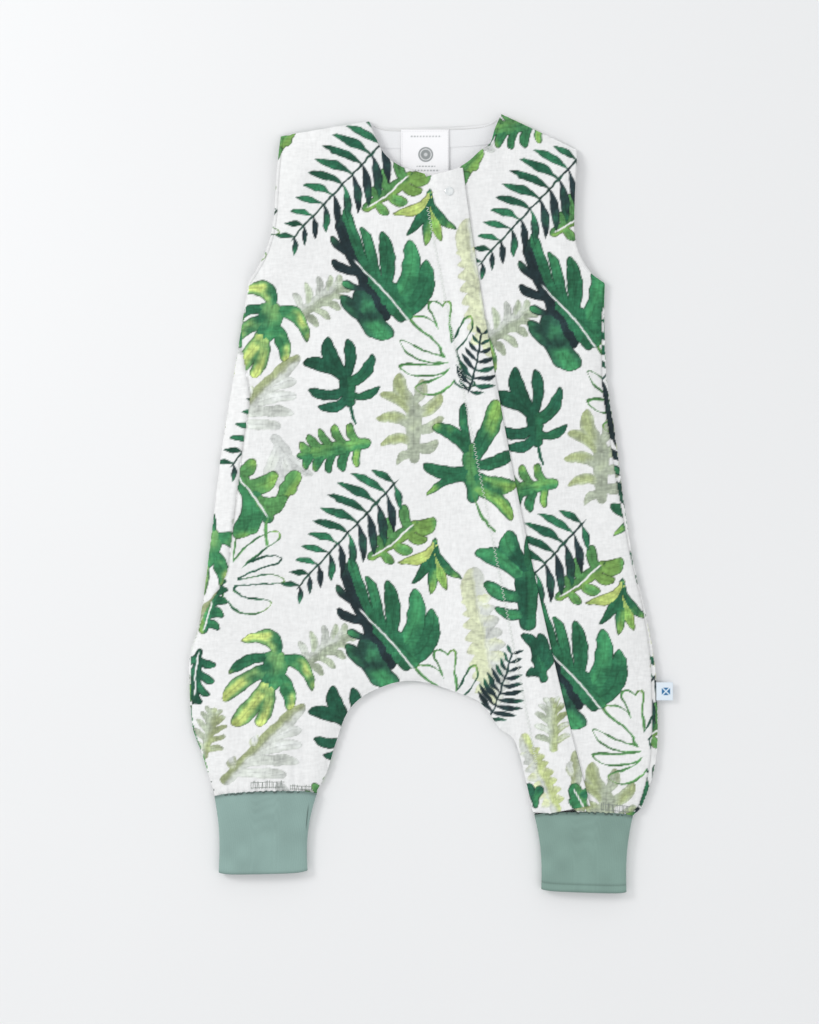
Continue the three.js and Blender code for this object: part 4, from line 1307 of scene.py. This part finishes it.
overlock_left = overlock("overlock_left", cuff_top_left, [(-174, -141, 2.5, 10.0), (-136, -114, 1.0, 6.5)])
overlock_right = overlock("overlock_right", cuff_top_right, [(164, 193, 1.5, 9.5)])

# ---- zip tapes and guard


def tape(name, side, node):
    """One woven zip tape, slightly thicker along its inner edge."""
    rows, columns = 280, 18
    near, far = (TAPE_INNER, TAPE_OUTER) if side > 0 else (-TAPE_OUTER, -TAPE_INNER)
    across, xy = zip_grid(np.linspace(TAPE_END, 1.0, rows), np.linspace(near, far, columns))
    edge = np.abs(across) - TAPE_INNER
    z = Z_TAPE + 0.22 * bell(edge, 1.0) + 0.05 * np.sin(edge * 2.4)
    points, faces = slab(np.c_[xy, z], rows, columns, TAPE_THICKNESS)
    return make_mesh(name, points, faces, TAPE, TAPE_WHITE, slot="zip_tape", node=node)


tape_left = tape("zip_tape_left_woven", -1, "zip_tape_left")
tape_right = tape("zip_tape_right_woven", 1, "zip_tape_right")

GUARD_ROWS, GUARD_COLUMNS, GUARD_HALF = 300, 20, 18
guard_xy = zip_grid(np.linspace(FLAP_END + 30, FLAP_TOP - 8, GUARD_ROWS),
                    np.linspace(-GUARD_HALF, GUARD_HALF, GUARD_COLUMNS))[1]
guard = make_mesh("zip_guard_cloth", np.c_[guard_xy, Z_GUARD + 0.12 * crinkle(guard_xy)],
                  grid_faces(GUARD_ROWS, GUARD_COLUMNS), colours=GUARD_WHITE,
                  node="zip_underlay", **WHITE_LOOK)

# ---- stitching beside the flap

STITCH_ACROSS = -20.6
stitch_along = np.arange(-545, 4, 1.0)
stitch_xy = zip_point(np.full(len(stitch_along), STITCH_ACROSS), stitch_along)
topstitch = stitches("flap_topstitch", on_front(stitch_xy), 1.7, 0.3, 0.26, FLAP_THREAD, zigzag=1.5,
                     lift=0.2)

# ---- side tag

TAG_PALE, TAG_BLUE = (226, 236, 244), (38, 108, 158)


def side_tag_piece():
    """A folded strip of woven ribbon with a plain blue shape on it."""
    low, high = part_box("side_tag")
    left, right = low[0] / MM - 1.2, high[0] / MM
    bottom, top = low[1] / MM, high[1] / MM
    z_low, z_high = low[2] / MM, high[2] / MM
    middle, radius = (z_low + z_high) / 2, (z_high - z_low) / 2
    section = [(x, middle + radius * 0.9) for x in np.linspace(left, right - radius, 26)]
    section += [(right - radius + radius * math.sin(a), middle + radius * 0.9 * math.cos(a))
                for a in np.linspace(0.3, math.pi - 0.3, 7)]
    section += [(x, middle - radius * 0.9) for x in np.linspace(right - radius, left, 26)]
    section += [(x, middle - radius * 0.45) for x in np.linspace(left, right - 1.4 * radius, 8)]
    section += [(right - 1.1 * radius, middle)]
    section += [(x, middle + radius * 0.45) for x in np.linspace(right - 1.4 * radius, left, 8)]
    section = np.array(section)
    ys = np.linspace(bottom, top, 30)
    points = np.array([(x, y, z + 0.12 * math.sin(y * 0.5)) for y in ys for x, z in section])
    faces = grid_faces(len(ys), len(section), wrap=True, capped=True)
    x, y = points[:, 0], points[:, 1]
    cx, cy = (left + right) / 2 + 1.2, (bottom + top) / 2
    shape = np.maximum(np.abs(x - cx) * 0.9, np.abs(y - cy)) - 3.6
    notch = np.abs(np.abs(x - cx) - np.abs(y - cy)) - 0.9
    ink = smooth(-np.maximum(shape, -notch), -0.4, 0.4)[:, None]
    colours = np.array(TAG_PALE) * (1 - ink) + np.array(TAG_BLUE) * ink
    return make_mesh("side_tag_woven", points, faces, colours=colours, body="tag", node="side_tag",
                     **LABEL_LOOK)


side_tag = side_tag_piece()

# ---- what stays from the CAD

for node, material in {
    "zip_teeth_left": COIL, "zip_teeth_right": COIL, "zip_top_stop_left": ENAMEL,
    "zip_top_stop_right": ENAMEL, "zip_bottom_stop": ENAMEL, "zip_slider": ENAMEL, "zip_pull": ENAMEL,
    "snap_cap": PEARL, "snap_socket": PEARL, "snap_stud": PEARL, "snap_post": PEARL,
}.items():
    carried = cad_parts[node]
    if not carried.material_slots:
        carried.data.materials.append(material)
    for each in carried.material_slots:
        each.material = material

# ---- floor, light and camera


def studio_floor():
    """A plain pale floor just below the garment."""
    size, cells, drop = 6.0, 24, 0.0002
    steps = np.linspace(-size / 2, size / 2, cells + 1)
    x, y = np.meshgrid(steps, steps, indexing="ij")
    points = np.stack([x.ravel(), y.ravel(), np.full(x.size, -drop)], 1) / MM
    material, tree, shader = node_material("pale_floor")
    cloud = add_node(tree, "ShaderNodeTexNoise", Vector=object_place(tree), Scale=2.0, Detail=2.0)
    connect(tree, shader, Roughness=0.95, Base_Color=two_tones(
        tree, cloud.outputs["Fac"], (0.83, 0.83, 0.83), (0.86, 0.86, 0.86)))
    floor = make_mesh("studio_floor", points, grid_faces(cells + 1, cells + 1), material, body=None)


studio_floor()

scene = bpy.context.scene
scene.view_settings.view_transform = "Standard"
world = bpy.data.worlds.new("studio")
world.use_nodes = True
connect(world.node_tree, world.node_tree.nodes["Background"], Color=(0.97, 0.985, 1.0, 1), Strength=0.81)
scene.world = world


def soft_light(name, place, size, power):
    """A round lamp that points at the origin."""
    data = bpy.data.lights.new(name, "AREA")
    data.shape, data.size, data.energy = "DISK", size, power
    made = bpy.data.objects.new(name, data)
    made.location = place
    made.rotation_mode = "QUATERNION"
    made.rotation_quaternion = (-made.location).to_track_quat("-Z", "Y")
    scene.collection.objects.link(made)


soft_light("key_light", (-1.7, 0.8, 1.5), 0.8, 17)
soft_light("fill_light", (1.4, -0.9, 2.2), 1.8, 6)

CAMERA_HEIGHT, LENS, SENSOR = 2.5, 90.65, 36.0
VIEW_CENTRE = (-0.0209, -0.0082)
camera_data = bpy.data.cameras.new("camera")
camera_data.lens, camera_data.sensor_width = LENS, SENSOR
camera_data.sensor_fit = "AUTO"
camera = bpy.data.objects.new("camera", camera_data)
camera.location = (*VIEW_CENTRE, CAMERA_HEIGHT)
scene.collection.objects.link(camera)
scene.camera = camera
